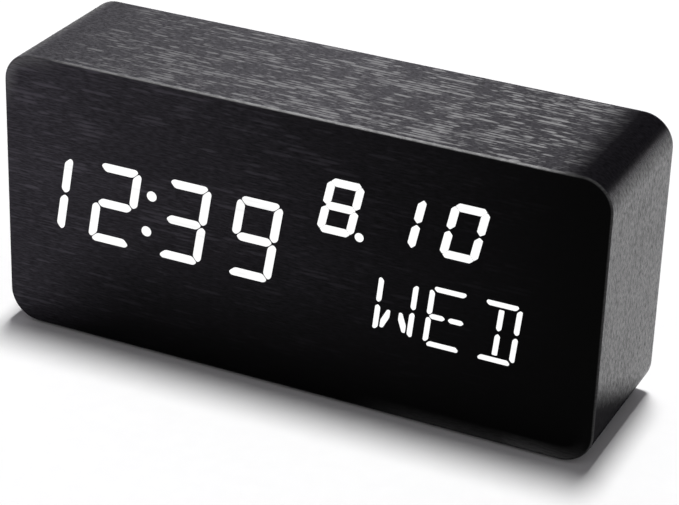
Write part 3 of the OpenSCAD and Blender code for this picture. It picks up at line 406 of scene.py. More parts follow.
def makeFrontMaterial():
    material, tree, shader = newMaterial("frontVeneer")
    x, z, vector = faceVector(tree)
    grain = useGrain(tree, vector, frontLook)
    # painted light: the front is lighter, and its fibre and dashes show more, towards the upper left of the
    # sheet and all down its left edge; painted shade darkens it towards the bottom
    paintedLightAcrossMask = plus(tree, spread(tree, x, *frontLook["paintedLightAcross"]), spread(tree, x, *frontLook["paintedLightFar"]))
    lifted = plus(tree, z, spread(tree, x, *frontLook["paintedLightLeftEdge"]))
    frontPaintedLight = times(tree, paintedLightAcrossMask, spread(tree, lifted, *frontLook["paintedShadeLow"]))
    frontPaintedLight = times(tree, frontPaintedLight, ramp(tree, grain["Cloud"], *frontLook["clouds"]), clamp=True)
    base = mixColour(tree, frontPaintedLight, frontLook["dark"], frontLook["light"])
    fibre = times(tree, grain["Fibre"], times(tree, frontPaintedLight, frontLook["fibreShare"]))
    base = mixColour(tree, fibre, base, frontLook["fibre"])
    dash = times(tree, grain["Dash"], times(tree, frontPaintedLight, frontLook["dashShare"]))
    base = mixColour(tree, dash, base, frontLook["dash"])
    # the pale rim, partly wear and partly painted highlight, is paler towards the right
    rimHighlightAndWear = times(tree, spread(tree, x, *frontLook["edgeFade"]),
                   ramp(tree, grain["Fibre"], *frontLook["edgeFibre"]))
    wearAndPaintedLight = times(tree, attribute(tree, "edgeWearAndHighlight"), rimHighlightAndWear)
    setInputs(tree, shader, {
        "Base Color": mixColour(tree, wearAndPaintedLight, base, frontLook["edge"]),
        "Roughness": ramp(tree, grain["Fibre"], *frontLook["rough"]),
        "Specular IOR Level": frontLook["gloss"],
        "Normal": bumped(tree, grain["Relief"], *frontLook["bump"]),
    })
    return material


glowLook = {"clear": grey(1.0), "grain": grey(0.9), "dark": grey(0.05), "fibre": grey(0.08),
            "rough": (0.45, 0.6), "gloss": 0.12, "strength": 1.0}


def makeGlowMaterial():
    # light seen through the thin sheet: its pores dim it a little
    material, tree, shader = newMaterial("litVeneer")
    grain = useGrain(tree, faceVector(tree)[2], frontLook)
    setInputs(tree, shader, {
        "Emission Color": mixColour(tree, grain["Dash"], glowLook["clear"], glowLook["grain"]),
        "Emission Strength": glowLook["strength"],
        "Base Color": mixColour(tree, grain["Fibre"], glowLook["dark"], glowLook["fibre"]),
        "Roughness": ramp(tree, grain["Fibre"], *glowLook["rough"]),
        "Specular IOR Level": glowLook["gloss"],
    })
    return material


def makeMottled(name, low, high, rough, patch, speckle, relief=0.00002, metallic=0.0, emission=0.0,
                alpha=1.0, gloss=0.5):
    # one finish for moulded, pressed or drawn pieces: low and high are the colours of its patches
    material, tree, shader = newMaterial(name)
    coords = addNode(tree, "ShaderNodeTexCoord").outputs["Object"]
    surface = addNode(tree, "ShaderNodeGroup", {
        "Vector": coords, "Patch Size": patch, "Speckle Size": speckle}, node_tree=mottleGroup).outputs
    blend = plus(tree, times(tree, surface["Patch"], mottle["patchShare"]),
                 times(tree, surface["Speckle"], mottle["speckleShare"]))
    colour = mixColour(tree, blend, low, high)
    setInputs(tree, shader, {
        "Base Color": colour,
        "Roughness": ramp(tree, surface["Patch"], *rough),
        "Normal": bumped(tree, surface["Relief"], mottle["bump"], relief),
        "Metallic": metallic,
        "Alpha": alpha,
        "Specular IOR Level": gloss,
    })
    if emission > 0:
        setInputs(tree, shader, {"Emission Color": colour, "Emission Strength": emission})
    return material


# two colours, roughness, patch and speckle sizes in metres, and the relief's height where it is stronger
finishLooks = {
    "stainedBoard": (grey(0.010), grey(0.024, 0.06), (0.6, 0.8), 0.002, 0.0002),
    "coverPlastic": (grey(0.013), grey(0.020), (0.42, 0.52), 0.012, 0.00028, 0.00003),
    "doorPlastic": (grey(0.014), grey(0.022), (0.40, 0.50), 0.010, 0.00028, 0.00003),
    "keyRubber": (grey(0.020), grey(0.030), (0.5, 0.6), 0.003, 0.00015),
    "blackSteel": (grey(0.05), grey(0.10), (0.3, 0.45), 0.001, 0.0001),
    "brightSteel": (grey(0.5), grey(0.66), (0.25, 0.4), 0.001, 0.0001),
    "nickel": ((0.58, 0.55, 0.50, 1), (0.72, 0.70, 0.65, 1), (0.2, 0.36), 0.004, 0.0002),
    "brass": ((0.62, 0.45, 0.16, 1), (0.78, 0.60, 0.26, 1), (0.2, 0.32), 0.001, 0.0001),
    "padFoam": (grey(0.012), grey(0.035), (0.8, 0.95), 0.0012, 0.00012, 0.00006),
    "paleWood": ((0.42, 0.28, 0.15, 1), (0.56, 0.40, 0.24, 1), (0.6, 0.75), 0.003, 0.0003),
    "film": (grey(0.78), grey(0.86), (0.35, 0.5), 0.01, 0.0004),
    "whitePlastic": (grey(0.74), grey(0.82), (0.4, 0.5), 0.01, 0.0003),
    "litGuide": (grey(0.92), grey(1.0), (0.2, 0.3), 0.004, 0.0004),
    "darkGuide": (grey(0.10), grey(0.14), (0.2, 0.3), 0.004, 0.0004),
    "tapeFoam": (grey(0.02), grey(0.04), (0.8, 0.95), 0.001, 0.0002, 0.00005),
    "solderMask": ((0.010, 0.085, 0.032, 1), (0.018, 0.115, 0.046, 1), (0.25, 0.35), 0.008, 0.0006),
    "diode": ((0.80, 0.70, 0.34, 1), (0.90, 0.82, 0.50, 1), (0.3, 0.4), 0.001, 0.0001),
    "chipResin": (grey(0.016), grey(0.026), (0.5, 0.62), 0.003, 0.00012),
    "redPlunger": ((0.32, 0.020, 0.016, 1), (0.42, 0.034, 0.026, 1), (0.35, 0.45), 0.002, 0.0002),
    "inletPlastic": (grey(0.010), grey(0.018), (0.35, 0.45), 0.004, 0.0002),
    "rubberBoot": (grey(0.018), grey(0.030), (0.65, 0.8), 0.002, 0.0002),
    "sleeveBlue": ((0.010, 0.014, 0.06, 1), (0.018, 0.024, 0.09, 1), (0.25, 0.35), 0.004, 0.0003),
    "greyRibbon": (grey(0.34), grey(0.42), (0.45, 0.55), 0.004, 0.0004),
    "blackLead": (grey(0.010), grey(0.018), (0.4, 0.5), 0.003, 0.0002),
    "redLead": ((0.36, 0.012, 0.010, 1), (0.46, 0.022, 0.016, 1), (0.4, 0.5), 0.003, 0.0002),
}
finishExtras = {
    "blackSteel": {"metallic": 1.0},
    "brightSteel": {"metallic": 1.0},
    "nickel": {"metallic": 1.0},
    "brass": {"metallic": 1.0},
    "film": {"alpha": 0.6},
    "litGuide": {"emission": 1.0},
}
blackVeneer = makeWrapMaterial()
frontVeneer = makeFrontMaterial()
litVeneer = makeGlowMaterial()
finishes = {
    name: makeMottled(name, *look, **finishExtras.get(name, {})) for name, look in finishLooks.items()
}
print("materials:", len(finishes) + 3)


# camera at the photograph's angle, image 679 by 505
camera = {
    "place": (218.614, -473.072, 289.588),
    "right": (0.90283, 0.42884, 0.03149),
    "up": (-0.21858, 0.39465, 0.89245),
    "lens": 131.84,
    "sensor": 36.0,
    "clip": (0.01, 50.0),
}
eye = bpy.data.cameras.new("photoCamera")
eye.lens = camera["lens"]
eye.sensor_width = camera["sensor"]
eye.sensor_fit = "HORIZONTAL"
eye.clip_start, eye.clip_end = camera["clip"]
eyeObject = bpy.data.objects.new("photoCamera", eye)
scene.collection.objects.link(eyeObject)
eyeRight = Vector(camera["right"]).normalized()
eyeUp = (Vector(camera["up"]) - Vector(camera["up"]).dot(eyeRight) * eyeRight).normalized()
eyeTurn = Matrix((eyeRight, eyeUp, eyeRight.cross(eyeUp))).transposed()
eyeObject.matrix_world = Matrix.Translation(Vector(camera["place"]) * mm) @ eyeTurn.to_4x4()
scene.camera = eyeObject

# plain light: one soft lamp nearly overhead, a wide box behind to the left, dim surroundings
light = {
    "target": (0, 0, 0.035),
    "panelFrom": (-0.024, 0.138, 1.0),
    "panelAway": 4.0,
    "panelSize": (0.56, 1.0),
    "panelPower": 146.0,
    "boxFrom": (-0.55, 0.72, 0.45),
    "boxAway": 1.4,
    "boxSize": (1.5, 0.8),
    "boxPower": 2.3,
    "boxTint": (1.0, 0.97, 1.07),
    "roomTint": (1.0, 0.975, 1.015),
    "roomLevel": 0.04,
    "backdropLevel": 0.9,
    "backdropTop": (0.08, 0.24),
    "fillLevel": 0.25,
    "fillFrom": (0.9, -1.0, 0.0),
    "fillSide": (-0.1, 0.5),
}


def addLamp(name, shape, part):
    lamp = bpy.data.lights.new(name, "AREA")
    lamp.shape = shape
    lamp.size, lamp.size_y = light[part + "Size"]
    lamp.energy = light[part + "Power"]
    holder = bpy.data.objects.new(name, lamp)
    direction = Vector(light[part + "From"]).normalized()
    holder.location = Vector(light["target"]) + direction * light[part + "Away"]
    holder.rotation_euler = direction.to_track_quat("Z", "Y").to_euler()
    holder.visible_camera = False
    scene.collection.objects.link(holder)
    return lamp


addLamp("overhead", "ELLIPSE", "panel")
addLamp("rearBox", "RECTANGLE", "box").color = light["boxTint"]
room = bpy.data.worlds.new("room")
room.use_nodes = True
scene.world = room
roomTree = room.node_tree
ways = addNode(roomTree, "ShaderNodeTexCoord").outputs["Generated"]
upward = addNode(roomTree, "ShaderNodeSeparateXYZ", {0: ways}).outputs[2]
levels = spread(roomTree, upward, *light["backdropTop"], light["backdropLevel"], light["roomLevel"])
facing = addNode(roomTree, "ShaderNodeVectorMath", {0: ways, 1: light["fillFrom"]}, operation="DOT_PRODUCT")
fill = spread(roomTree, facing.outputs["Value"], *light["fillSide"], 0.0, light["fillLevel"])
glare = arithmetic(roomTree, "MAXIMUM", levels, fill)
tinted = addNode(roomTree, "ShaderNodeVectorMath", {0: glare, 1: light["roomTint"]}, operation="MULTIPLY")
setInputs(roomTree, roomTree.nodes["Background"], {"Color": tinted.outputs[0], "Strength": 1.0})

# floor
floorHalf = 6.0
floorLook = {"low": grey(0.95), "high": grey(0.97), "rough": (0.9, 1.0), "patch": 0.2, "speckle": 0.004,
             "gloss": 0.0}
bm = bmesh.new()
bm.faces.new(ringOf(bm, [(x * floorHalf, y * floorHalf, 0) for x, y in ((-1, -1), (1, -1), (1, 1), (-1, 1))]))
floorPiece = newPiece("floor", meshFrom(bm, scale=1.0), makeMottled("paleFloor", **floorLook))
print("camera, light and floor")


# wrap: one strip of veneer round the case, its grain along the strip, its butt joint underneath
wrap = {
    "thick": 0.5,
    "depthSteps": 12,
    "bevelSteps": 4,
    "margin": 0.3,  # between the rims and the even stations
    "frontWearAndHighlight": 0.25,
    "rimWearAndHighlight": 0.5,
    "bevelWear": 1.0,
    "rearWear": 0.6,
    "leftPores": 0.3,
    "rightPores": 0.9,
    "poreFade": 12.0,
    # the varnish shares across the top set a painted sheen; the bend share paints shade
    "leftVarnish": 0.54,
    "midVarnish": 0.83,
    "rightVarnish": 0.46,
    "endVarnish": 0.81,
    "bendVarnish": 0.02,
    "leftFade": (-6.5, -0.5),
    "rightFade": (-1.0, 8.0),
    "fadeTurns": (32.0, 66.0),  # degrees round the bend
    "endSpecks": 0.26,
    # a painted shadow's reflection low at the front of the right end, made by taking the varnish away
    "paintedShadeRise": 20.5,
    "paintedShadeSlope": 0.42,
    "paintedShadeSoft": (-2.7, 6.3),
    "paintedShadeVarnish": 0.04,
    "flatNormal": 0.05,  # sideways part of the normal up to which a face is flat
    "endNormal": 0.9,    # and from which it belongs to an end
}


def fromBend(x):
    return clock["width"] / 2 - clock["corner"] - abs(x)


def poreShare(point, normal):
    # open pores show on the flats, more to the right; they fade out towards the bends as painted shade, and
    # on the bends and ends there are none
    if abs(normal.x) > wrap["flatNormal"]:
        return 0.0
    across = point.x / clock["width"] + 0.5
    share = wrap["leftPores"] + (wrap["rightPores"] - wrap["leftPores"]) * across
    return share * eased(fromBend(point.x), 0.0, wrap["poreFade"])


def varnishShare(point, normal, y):
    # the varnish share: varied across the top to shape its painted sheen, taken off the upper half of each
    # bend as painted shade, and low down towards the front of the right end as a painted shadow's reflection
    side = "right" if point.x > 0 else "left"
    turn = math.degrees(math.atan2(abs(normal.x), abs(normal.y)))
    full = wrap["midVarnish"]
    full += (wrap[side + "Varnish"] - full) * abs(2 * point.x / clock["width"])
    onTop = full * eased(fromBend(point.x), *wrap[side + "Fade"])
    onEnd = wrap["endVarnish"] * eased(turn, *wrap["fadeTurns"])
    share = max(onTop, onEnd, wrap["bendVarnish"])
    if point.x < 0:
        return share
    # painted shade: the varnish is taken away in a wedge low at the front of the right end
    rise = point.y + clock["height"] / 2
    edge = wrap["paintedShadeRise"] - wrap["paintedShadeSlope"] * (y - clock["frontY"])
    wearAndPaintedLight = eased(edge - rise, *wrap["paintedShadeSoft"])
    return share + (min(share, wrap["paintedShadeVarnish"]) - share) * wearAndPaintedLight


def wrapPath():
    # points round the outside with their normals, from the middle of the underside
    corner, width, height = clock["corner"], clock["width"], clock["height"]
    path = roundRect(width, height, corner, clock["cornerSteps"], clock["straightSteps"])
    middle = len(path) - clock["straightSteps"] // 2
    path = path[middle:] + path[:middle]
    innerX, innerZ = width / 2 - corner, height / 2 - corner
    normals = []
    for x, z in path:
        away = Vector((x - max(-innerX, min(innerX, x)), z - max(-innerZ, min(innerZ, z))))
        normals.append(away.normalized())
    return path, normals


def wrapProfile():
    # depth into the veneer, station along the case, and edge share: wear, with a painted highlight at the
    # front edge
    frontY, rearY, bevel = clock["frontY"] + clock["sheet"], clock["rearY"], clock["bevel"]
    start, stop, steps = frontY + wrap["margin"], rearY - bevel - wrap["margin"], wrap["depthSteps"]
    profile = [(0, frontY, wrap["frontWearAndHighlight"])]
    profile += [(0, start + (stop - start) * i / steps, 0.0) for i in range(steps + 1)]
    profile.append((0, rearY - bevel, wrap["rimWearAndHighlight"]))
    for i in range(1, wrap["bevelSteps"] + 1):
        a = math.pi / 2 * i / wrap["bevelSteps"]
        profile.append((bevel * (1 - math.cos(a)), rearY - bevel + bevel * math.sin(a), wrap["bevelWear"]))
    return profile + [(wrap["thick"], rearY, wrap["rearWear"]), (wrap["thick"], frontY, 0.0)]


def makeWrap():
    path, normals = wrapPath()
    profile = wrapProfile()
    count = len(path)
    bm = bmesh.new()
    uvLayer = bm.loops.layers.uv.new("grainUV")
    for name in ("edgeWearAndHighlight", "poreShare", "varnish", "speckShare"):
        bm.verts.layers.float.new(name)
    shares = bm.verts.layers.float
    rings = []
    for depth, y, wearAndHighlight in profile:
        ring = []
        for point, normal in zip(path, normals):
            place = point - normal * depth
            vert = bm.verts.new((place.x, y, place.y + clock["midZ"]))
            vert[shares["edgeWearAndHighlight"]] = wearAndHighlight
            vert[shares["poreShare"]] = poreShare(point, normal)
            vert[shares["varnish"]] = varnishShare(point, normal, y)
            vert[shares["speckShare"]] = wrap["endSpecks"] if abs(normal.x) > wrap["endNormal"] else 0.0
            ring.append(vert)
        rings.append(ring)
    # the grain's map is the strip rolled out flat
    along, across = [0.0], [0.0]
    for i in range(count):
        along.append(along[-1] + (path[(i + 1) % count] - path[i]).length)
    for a, b in zip(profile, profile[1:]):
        across.append(across[-1] + math.hypot(b[0] - a[0], b[1] - a[1]))
    across.append(across[-1] + 1.0)
    for k, low in enumerate(rings):
        vLow, vHigh = across[k], across[k + 1]
        for i, face in enumerate(bridge(bm, low, rings[(k + 1) % len(rings)])):
            uLow, uHigh = along[i], along[i + 1]
            for loop, (u, v) in zip(face.loops, ((uLow, vLow), (uHigh, vLow), (uHigh, vHigh), (uLow, vHigh))):
                loop[uvLayer].uv = (u * mm, v * mm)
    return meshFrom(bm, sharpFrom["veneer"])


wrapPiece = newPiece("wrap_strip", makeWrap(), blackVeneer)
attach(wrapPiece, "clock")
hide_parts("wrap_veneer")
print("wrap:", len(wrapPiece.data.polygons), "faces")


# front sheet and the strokes that shine through it; places are from the middle of the face
timeRow = {
    "glyphs": "1239", "shifts": [-1.5, -0.5, 0.5, 1.5], "centre": (-36.69, 1.42), "pitch": 18.25, "rise": 0.0,
    "wide": 9.54, "tall": 18.62, "stroke": 2.16, "lean": 8.9,
    "cut": 1.59, "mitre": 0.12, "waist": 0.16, "middle": 0.16, "soft": 0.6,
}
dateRow = {
    "glyphs": "810", "shifts": [-1, 0, 1], "centre": (26.99, 14.84), "pitch": 14.94, "rise": 0.43,
    "wide": 7.12, "tall": 11.9, "stroke": 1.98, "lean": 11.7,
    "cut": 1.6, "mitre": 0.02, "waist": 0.16, "middle": -0.12, "soft": 0.25,
}
dayRow = {
    "glyphs": "WED", "shifts": [-1, 0, 1], "centre": (38.78, -6.9), "pitch": 12.41, "rise": 0.0,
    "wide": 8.42, "tall": 13.99, "stroke": 1.29, "lean": 5.4,
    "cut": 1.2, "mitre": 0.38, "waist": 0.28, "middle": -0.02, "soft": 0.35,
    "slantWide": 0.8, "slantTall": 1.9,
}
dots = {"colonRadius": 1.29, "colonRise": 4.66, "pointRadius": 1.1, "pointPlace": (16.83, 8.23), "steps": 28}
glyphStrokes = {"0": "abcdef", "1": "bc", "2": "abged", "3": "abgcd", "8": "abcdefg", "9": "abfgcd",
                "W": "febckm", "E": "afedpq", "D": "abcdil"}
strokeFlips = {"a": (1, 1), "d": (1, -1), "b": (1, 1), "c": (1, -1), "e": (-1, -1), "f": (-1, 1), "g": (1, 1),
               "p": (1, 1), "q": (-1, 1), "i": (1, 1), "l": (1, -1), "k": (1, -1), "m": (-1, -1)}


def strokeOutline(name, row):
    # each stroke is drawn once and flipped into its other places
    parts = ("wide", "tall", "stroke", "cut", "mitre", "waist", "middle")
    w, h, t, k, g, v, m = (row[part] for part in parts)
    x, z, xi, zi = (w + t) / 2, (h + t) / 2, (w - t) / 2, (h - t) / 2  # outer and inner edges
    if name in "ad":
        points = [(k - x, z), (x - k, z), (x - k / 2 - g, z - k / 2), (xi - g, zi), (g - xi, zi),
                  (k / 2 + g - x, z - k / 2)]
    elif name in "bcef":
        points = [(x, z - k), (x - k / 2, z - k / 2 - g), (xi, zi - g), (xi, t / 2 + v), (w / 2, v),
                  (x, t / 3 + v)]
    elif name in "gpq":
        x0, x1 = m - w / 2, w / 2 - m if name == "g" else -v
        points = [(x0, 0), (x0 + t / 2, t / 2), (x1 - t / 2, t / 2), (x1, 0), (x1 - t / 2, -t / 2),
                  (x0 + t / 2, -t / 2)]
    elif name in "il":
        top = zi - 2 * v
        points = [(-t / 2, top), (t / 2, top), (t / 2, t / 2 + v), (0, v), (-t / 2, t / 2 + v)]
    else:
        x0, x1, z0, z1 = 1.5 * v - xi, -t / 2 - 1.5 * v, zi - 1.5 * v, t / 2 + 1.5 * v
        sw, sh = row["slantWide"], row["slantTall"]
        points = [(x0, z0), (x0 + sw, z0), (x1, z1 + sh), (x1, z1), (x1 - sw, z1), (x0, z0 - sh)]
    fx, fz = strokeFlips[name]
    points = [(px * fx, pz * fz) for px, pz in points]
    return points[::-1] if fx * fz < 0 else points


def softened(points, reach, steps=5, most=0.48):
    # every corner becomes a short curve that starts at most reach, or that share of the side, from it
    outline = []
    count = len(points)
    for i in range(count):
        before, here, after = (Vector(points[(i + d) % count]) for d in (-1, 0, 1))
        start = here + (before - here).normalized() * min(reach, (before - here).length * most)
        end = here + (after - here).normalized() * min(reach, (after - here).length * most)
        for s in range(steps + 1):
            t = s / steps
            outline.append(start * (1 - t) ** 2 + here * 2 * t * (1 - t) + end * t ** 2)
    return outline


def rowOutlines(row):
    slope = math.tan(math.radians(row["lean"]))
    outlines = []
    for glyph, shift in zip(row["glyphs"], row["shifts"]):
        for name in glyphStrokes[glyph]:
            outline = softened(strokeOutline(name, row), row["soft"])
            outlines.append([Vector((p.x + p.y * slope + row["centre"][0] + shift * row["pitch"],
                                     p.y + row["centre"][1] + shift * row["rise"])) for p in outline])
    return outlines


def disc(centre, radius):
    return [Vector((centre[0] + radius * math.cos(a), centre[1] + radius * math.sin(a)))
            for a in turnsOf(dots["steps"])]


timeSlope = math.tan(math.radians(timeRow["lean"]))
colonPlaces = [(timeRow["centre"][0] + s * dots["colonRise"] * timeSlope,
                timeRow["centre"][1] + s * dots["colonRise"]) for s in (1, -1)]
litRows = {
    "time_glow": rowOutlines(timeRow) + [disc(place, dots["colonRadius"]) for place in colonPlaces],
    "date_glow": rowOutlines(dateRow) + [disc(dots["pointPlace"], dots["pointRadius"])],
    "weekday_glow": rowOutlines(dayRow),
}

# pale rim of the sheet, partly wear and partly painted highlight: its rings as inset and wear, those of the
# bevel in parts of the bevel
sheetRim = {
    "faceRings": [(3.6, 0.0), (1.8, 0.45), (clock["bevel"] + 0.15, 1.0), (clock["bevel"], 0.2)],
    "bevelRings": [(0.62, 0.08, 1.0), (0.3, 0.3, 1.0), (0.08, 0.62, 1.0), (0.0, 1.0, 0.9)],
    "backWear": 0.8,
    "sideShare": 0.12,
    "bendShare": 0.1,
    "topBand": 1.0,
    "topFade": 12.0,
    # painted highlight patches: x, the edge they sit on, their share and their reach
    "patches": [(-75.0, 1, 0.55, 16.0), (46.0, -1, 0.10, 32.0), (62.0, -1, 0.22, 14.0)],
    "patchSoft": 0.75,
}


def faceRing(bm, outline, y):
    return ringOf(bm, [(p[0], y, p[1] + clock["midZ"]) for p in outline])


def fillRings(bm, rings):
    flat = [vert for ring in rings for vert in ring]
    for tri in geometry.tessellate_polygon([[Vector((v.co.x, v.co.z, 0)) for v in ring] for ring in rings]):
        bm.faces.new([flat[i] for i in tri])


def rimWearAndHighlight(place):
    # partly wear, partly painted highlight: palest along the straight top edge, hardly on the bends at its
    # ends and faint down the sides
    if place.z < clock["midZ"] + clock["height"] / 2 - sheetRim["topBand"]:
        return sheetRim["sideShare"]
    low = sheetRim["bendShare"]
    return low + (1 - low) * eased(fromBend(place.x), 0.0, sheetRim["topFade"])


def paintedHighlightShare(place):
    # painted highlights at the upper left corner and, faintly, at the lower edge towards the right
    share = 0.0
    for x, side, most, reach in sheetRim["patches"]:
        middle = Vector((x, clock["midZ"] + side * clock["height"] / 2))
        away = (Vector((place.x, place.z)) - middle).length
        share = max(share, most * eased(reach - away, 0.0, sheetRim["patchSoft"] * reach))
    return share


def makeSheet():
    frontY, backY, bevel = clock["frontY"], clock["frontY"] + clock["sheet"], clock["bevel"]
    rings = [(inset, frontY, wearAndHighlight) for inset, wearAndHighlight in sheetRim["faceRings"]]
    rings += [(bevel * inset, frontY + bevel * deep, wearAndHighlight) for inset, deep, wearAndHighlight in sheetRim["bevelRings"]]
    rings.append((0.0, backY, sheetRim["backWear"]))
    bm = bmesh.new()
    wearAndHighlightLayer = bm.verts.layers.float.new("edgeWearAndHighlight")
    rim = []
    for inset, y, wearAndHighlight in rings:
        outline = roundRect(clock["width"] - 2 * inset, clock["height"] - 2 * inset, clock["corner"] - inset,
                            clock["cornerSteps"], clock["straightSteps"])
        rim.append(faceRing(bm, outline, y))
        for vert in rim[-1]:
            onRim = rimWearAndHighlight(vert.co) if inset <= bevel else 0.0
            vert[wearAndHighlightLayer] = wearAndHighlight * max(paintedHighlightShare(vert.co), onRim)
    for low, high in zip(rim, rim[1:]):
        bridge(bm, low, high)
    frontHoles, backHoles = [], []
    for outlines in litRows.values():
        for outline in outlines:
            frontHoles.append(faceRing(bm, outline, frontY))
            backHoles.append(faceRing(bm, outline, backY))
            bridge(bm, frontHoles[-1], backHoles[-1])
    fillRings(bm, [rim[0]] + frontHoles)
    fillRings(bm, [rim[-1]] + backHoles)
    return meshFrom(bm, sharpFrom["veneer"])


def makeGlow(outlines):
    bm = bmesh.new()
    for outline in outlines:
        front = faceRing(bm, outline, clock["frontY"])
        back = faceRing(bm, outline, clock["frontY"] + clock["sheet"])
        bridge(bm, front, back)
        bm.faces.new(front)
        bm.faces.new(back)
    return meshFrom(bm)


sheetPiece = newPiece("front_sheet", makeSheet(), frontVeneer)
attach(sheetPiece, "clock")
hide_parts("front_veneer")
for name, outlines in litRows.items():
    glowPiece = newPiece(name, makeGlow(outlines), litVeneer)
    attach(glowPiece, "clock")
    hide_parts("front_veneer")
print("front sheet:", len(sheetPiece.data.polygons), "faces,", sum(map(len, litRows.values())), "strokes")


# case, rear cover and door: the solids with their outer rims broken
brokenRims = {
    "caseWidth": 0.25,
    "caseReach": (72.0, 32.0),
    "coverWidth": 0.18,
    "doorWidth": 0.14,
    "doorTongueY": 18.8,
    "segments": 2,
    "merge": 1e-6,     # metres
    "sameLevel": 2e-5,
    "flatAngle": 0.5,  # degrees
    "rimAngle": 40,
}


def softenedCopy(node, levels, width, material, reach=(100.0, 100.0)):
    # levels are the stations along Y whose sharp rims are rounded, within reach of the middle of the face
    bm = bmesh.new()
    bm.from_mesh(nodes[node].data)
    bmesh.ops.remove_doubles(bm, verts=bm.verts, dist=brokenRims["merge"])
    bmesh.ops.dissolve_limit(bm, angle_limit=math.radians(brokenRims["flatAngle"]), verts=bm.verts,
                             edges=bm.edges)
    rims = []
    for edge in bm.edges:
        if len(edge.link_faces) != 2 or edge.calc_face_angle(0) < math.radians(brokenRims["rimAngle"]):
            continue
        middle = (edge.verts[0].co + edge.verts[1].co) / 2
        inside = abs(middle.x) < reach[0] * mm and abs(middle.z - clock["midZ"] * mm) < reach[1] * mm
        near = brokenRims["sameLevel"]
        if inside and any(all(abs(v.co.y - y * mm) < near for v in edge.verts) for y in levels):
            rims.append(edge)
    bmesh.ops.bevel(bm, geom=rims, offset=width * mm, segments=brokenRims["segments"], profile=0.5,
                    affect="EDGES", clamp_overlap=True)
    bmesh.ops.triangulate(bm, faces=[f for f in bm.faces if len(f.verts) > 4])
    carrier = newPiece(node + "Copy", meshFrom(bm, sharpFrom["moulding"], scale=1.0), material)
    flatten = carrier.modifiers.new("flatten", "WEIGHTED_NORMAL")
    flatten.keep_sharp = True
    return settled(carrier, flatten)


board = finishes["stainedBoard"]
caseMesh = softenedCopy("case_block", [clock["rearY"]], brokenRims["caseWidth"], board,
                        brokenRims["caseReach"])
casePiece = newPiece("case_shell", caseMesh, board)
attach(casePiece, "clock")
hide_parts("case_block")
coverMesh = softenedCopy("rear_cover", [clock["coverY"]], brokenRims["coverWidth"], finishes["coverPlastic"])
coverPiece = newPiece("moulded_cover", coverMesh, finishes["coverPlastic"])
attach(coverPiece, "clock")
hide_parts("rear_cover")
doorLevels = [clock["coverY"], brokenRims["doorTongueY"]]
doorMesh = softenedCopy("battery_door", doorLevels, brokenRims["doorWidth"], finishes["doorPlastic"])
doorPiece = newPiece("moulded_door", doorMesh, finishes["doorPlastic"])
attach(doorPiece, "door")
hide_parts("battery_door")
print("case, rear cover and door:", len(casePiece.data.polygons), len(coverPiece.data.polygons),
      len(doorPiece.data.polygons), "faces")


# keys: turned caps with a shallow dish and a raised mark
key = {
    "row": 43.3,
    "radius": 3.2,
    "collarRadius": 4.2,
    "collarIn": 14.8,
    "collarOut": 15.9,
    "top": 19.4,
    "rimRound": 0.6,
    "rimSteps": 6,
    "dish": 0.18,
    "segments": 56,
    "markTop": 19.65,
    "markSink": 0.4,
    "dotRadius": 0.9,
    "dotEdge": 0.12,
    "dotSegments": 32,
    "arrow": [(-1.4, -0.8), (1.4, -0.8), (0, 1.4)],
    "arrowEdge": 0.1,
    "arrowShrink": 0.92,
    "arrowSoft": 0.35,
}
keyMarks = {"set": (41.65, "dot"), "up": (27.65, "up"), "down": (13.65, "down")}


def makeKey(centreX, mark):
    r, top, rim, markTop = key["radius"], key["top"], key["rimRound"], key["markTop"]
    profile = [(0, key["collarIn"]), (key["collarRadius"], key["collarIn"]),
               (key["collarRadius"], key["collarOut"]), (r, key["collarOut"]), (r, top - rim)]
    for i in range(1, key["rimSteps"] + 1):
        a = math.pi / 2 * i / key["rimSteps"]
        profile.append((r - rim + rim * math.cos(a), top - rim + rim * math.sin(a)))
    for f in (0.75, 0.5, 0.25, 0.0):
        profile.append(((r - rim) * f, top - key["dish"] * (1 - f * f)))
    bm = bmesh.new()
    foot = top - key["markSink"]

    def place(x, y, z):
        return (centreX + x, y, key["row"] + z)

    lathe(bm, profile, key["segments"], place)
    if mark == "dot":
        r, edge = key["dotRadius"], key["dotEdge"]
        raised = [(0, foot), (r, foot), (r, markTop - edge), (r - edge, markTop), (0, markTop)]
        lathe(bm, raised, key["dotSegments"], place)
    else:
        flip = 1 if mark == "up" else -1
        rings = []
        for shrink, y in ((1.0, foot), (1.0, markTop - key["arrowEdge"]), (key["arrowShrink"], markTop)):
            arrow = [(x * shrink, z * flip * shrink) for x, z in key["arrow"]]
            rings.append(ringOf(bm, [place(p.x, y, p.y) for p in softened(arrow, key["arrowSoft"])]))
        bridge(bm, rings[0], rings[1])
        bridge(bm, rings[1], rings[2])
        bm.faces.new(rings[0])
        bm.faces.new(rings[2])
    return meshFrom(bm, sharpFrom["moulding"])


for name, (centreX, mark) in keyMarks.items():
    keyPiece = newPiece(name + "_cap", makeKey(centreX, mark), finishes["keyRubber"])
    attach(keyPiece, name + "_key")
    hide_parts(name + "_button")
print("keys:", len(keyMarks))


# screws, pads and springs come from Geometry Nodes

def newTree(name, inputs):
    tree = bpy.data.node_groups.new(name, "GeometryNodeTree")
    for label, kind in inputs.items():
        tree.interface.new_socket(label, in_out="INPUT", socket_type="NodeSocket" + kind)
    tree.interface.new_socket("Geometry", in_out="OUTPUT", socket_type="NodeSocketGeometry")
    return tree, tree.nodes.new("NodeGroupInput").outputs, tree.nodes.new("NodeGroupOutput")


def closeTree(tree, shape, inlet, outlet):
    real = addNode(tree, "GeometryNodeRealizeInstances", {"Geometry": shape})
    dressed = addNode(tree, "GeometryNodeSetMaterial", {
        "Geometry": real.outputs[0], "Material": inlet["Material"]})
    tree.links.new(dressed.outputs[0], outlet.inputs[0])


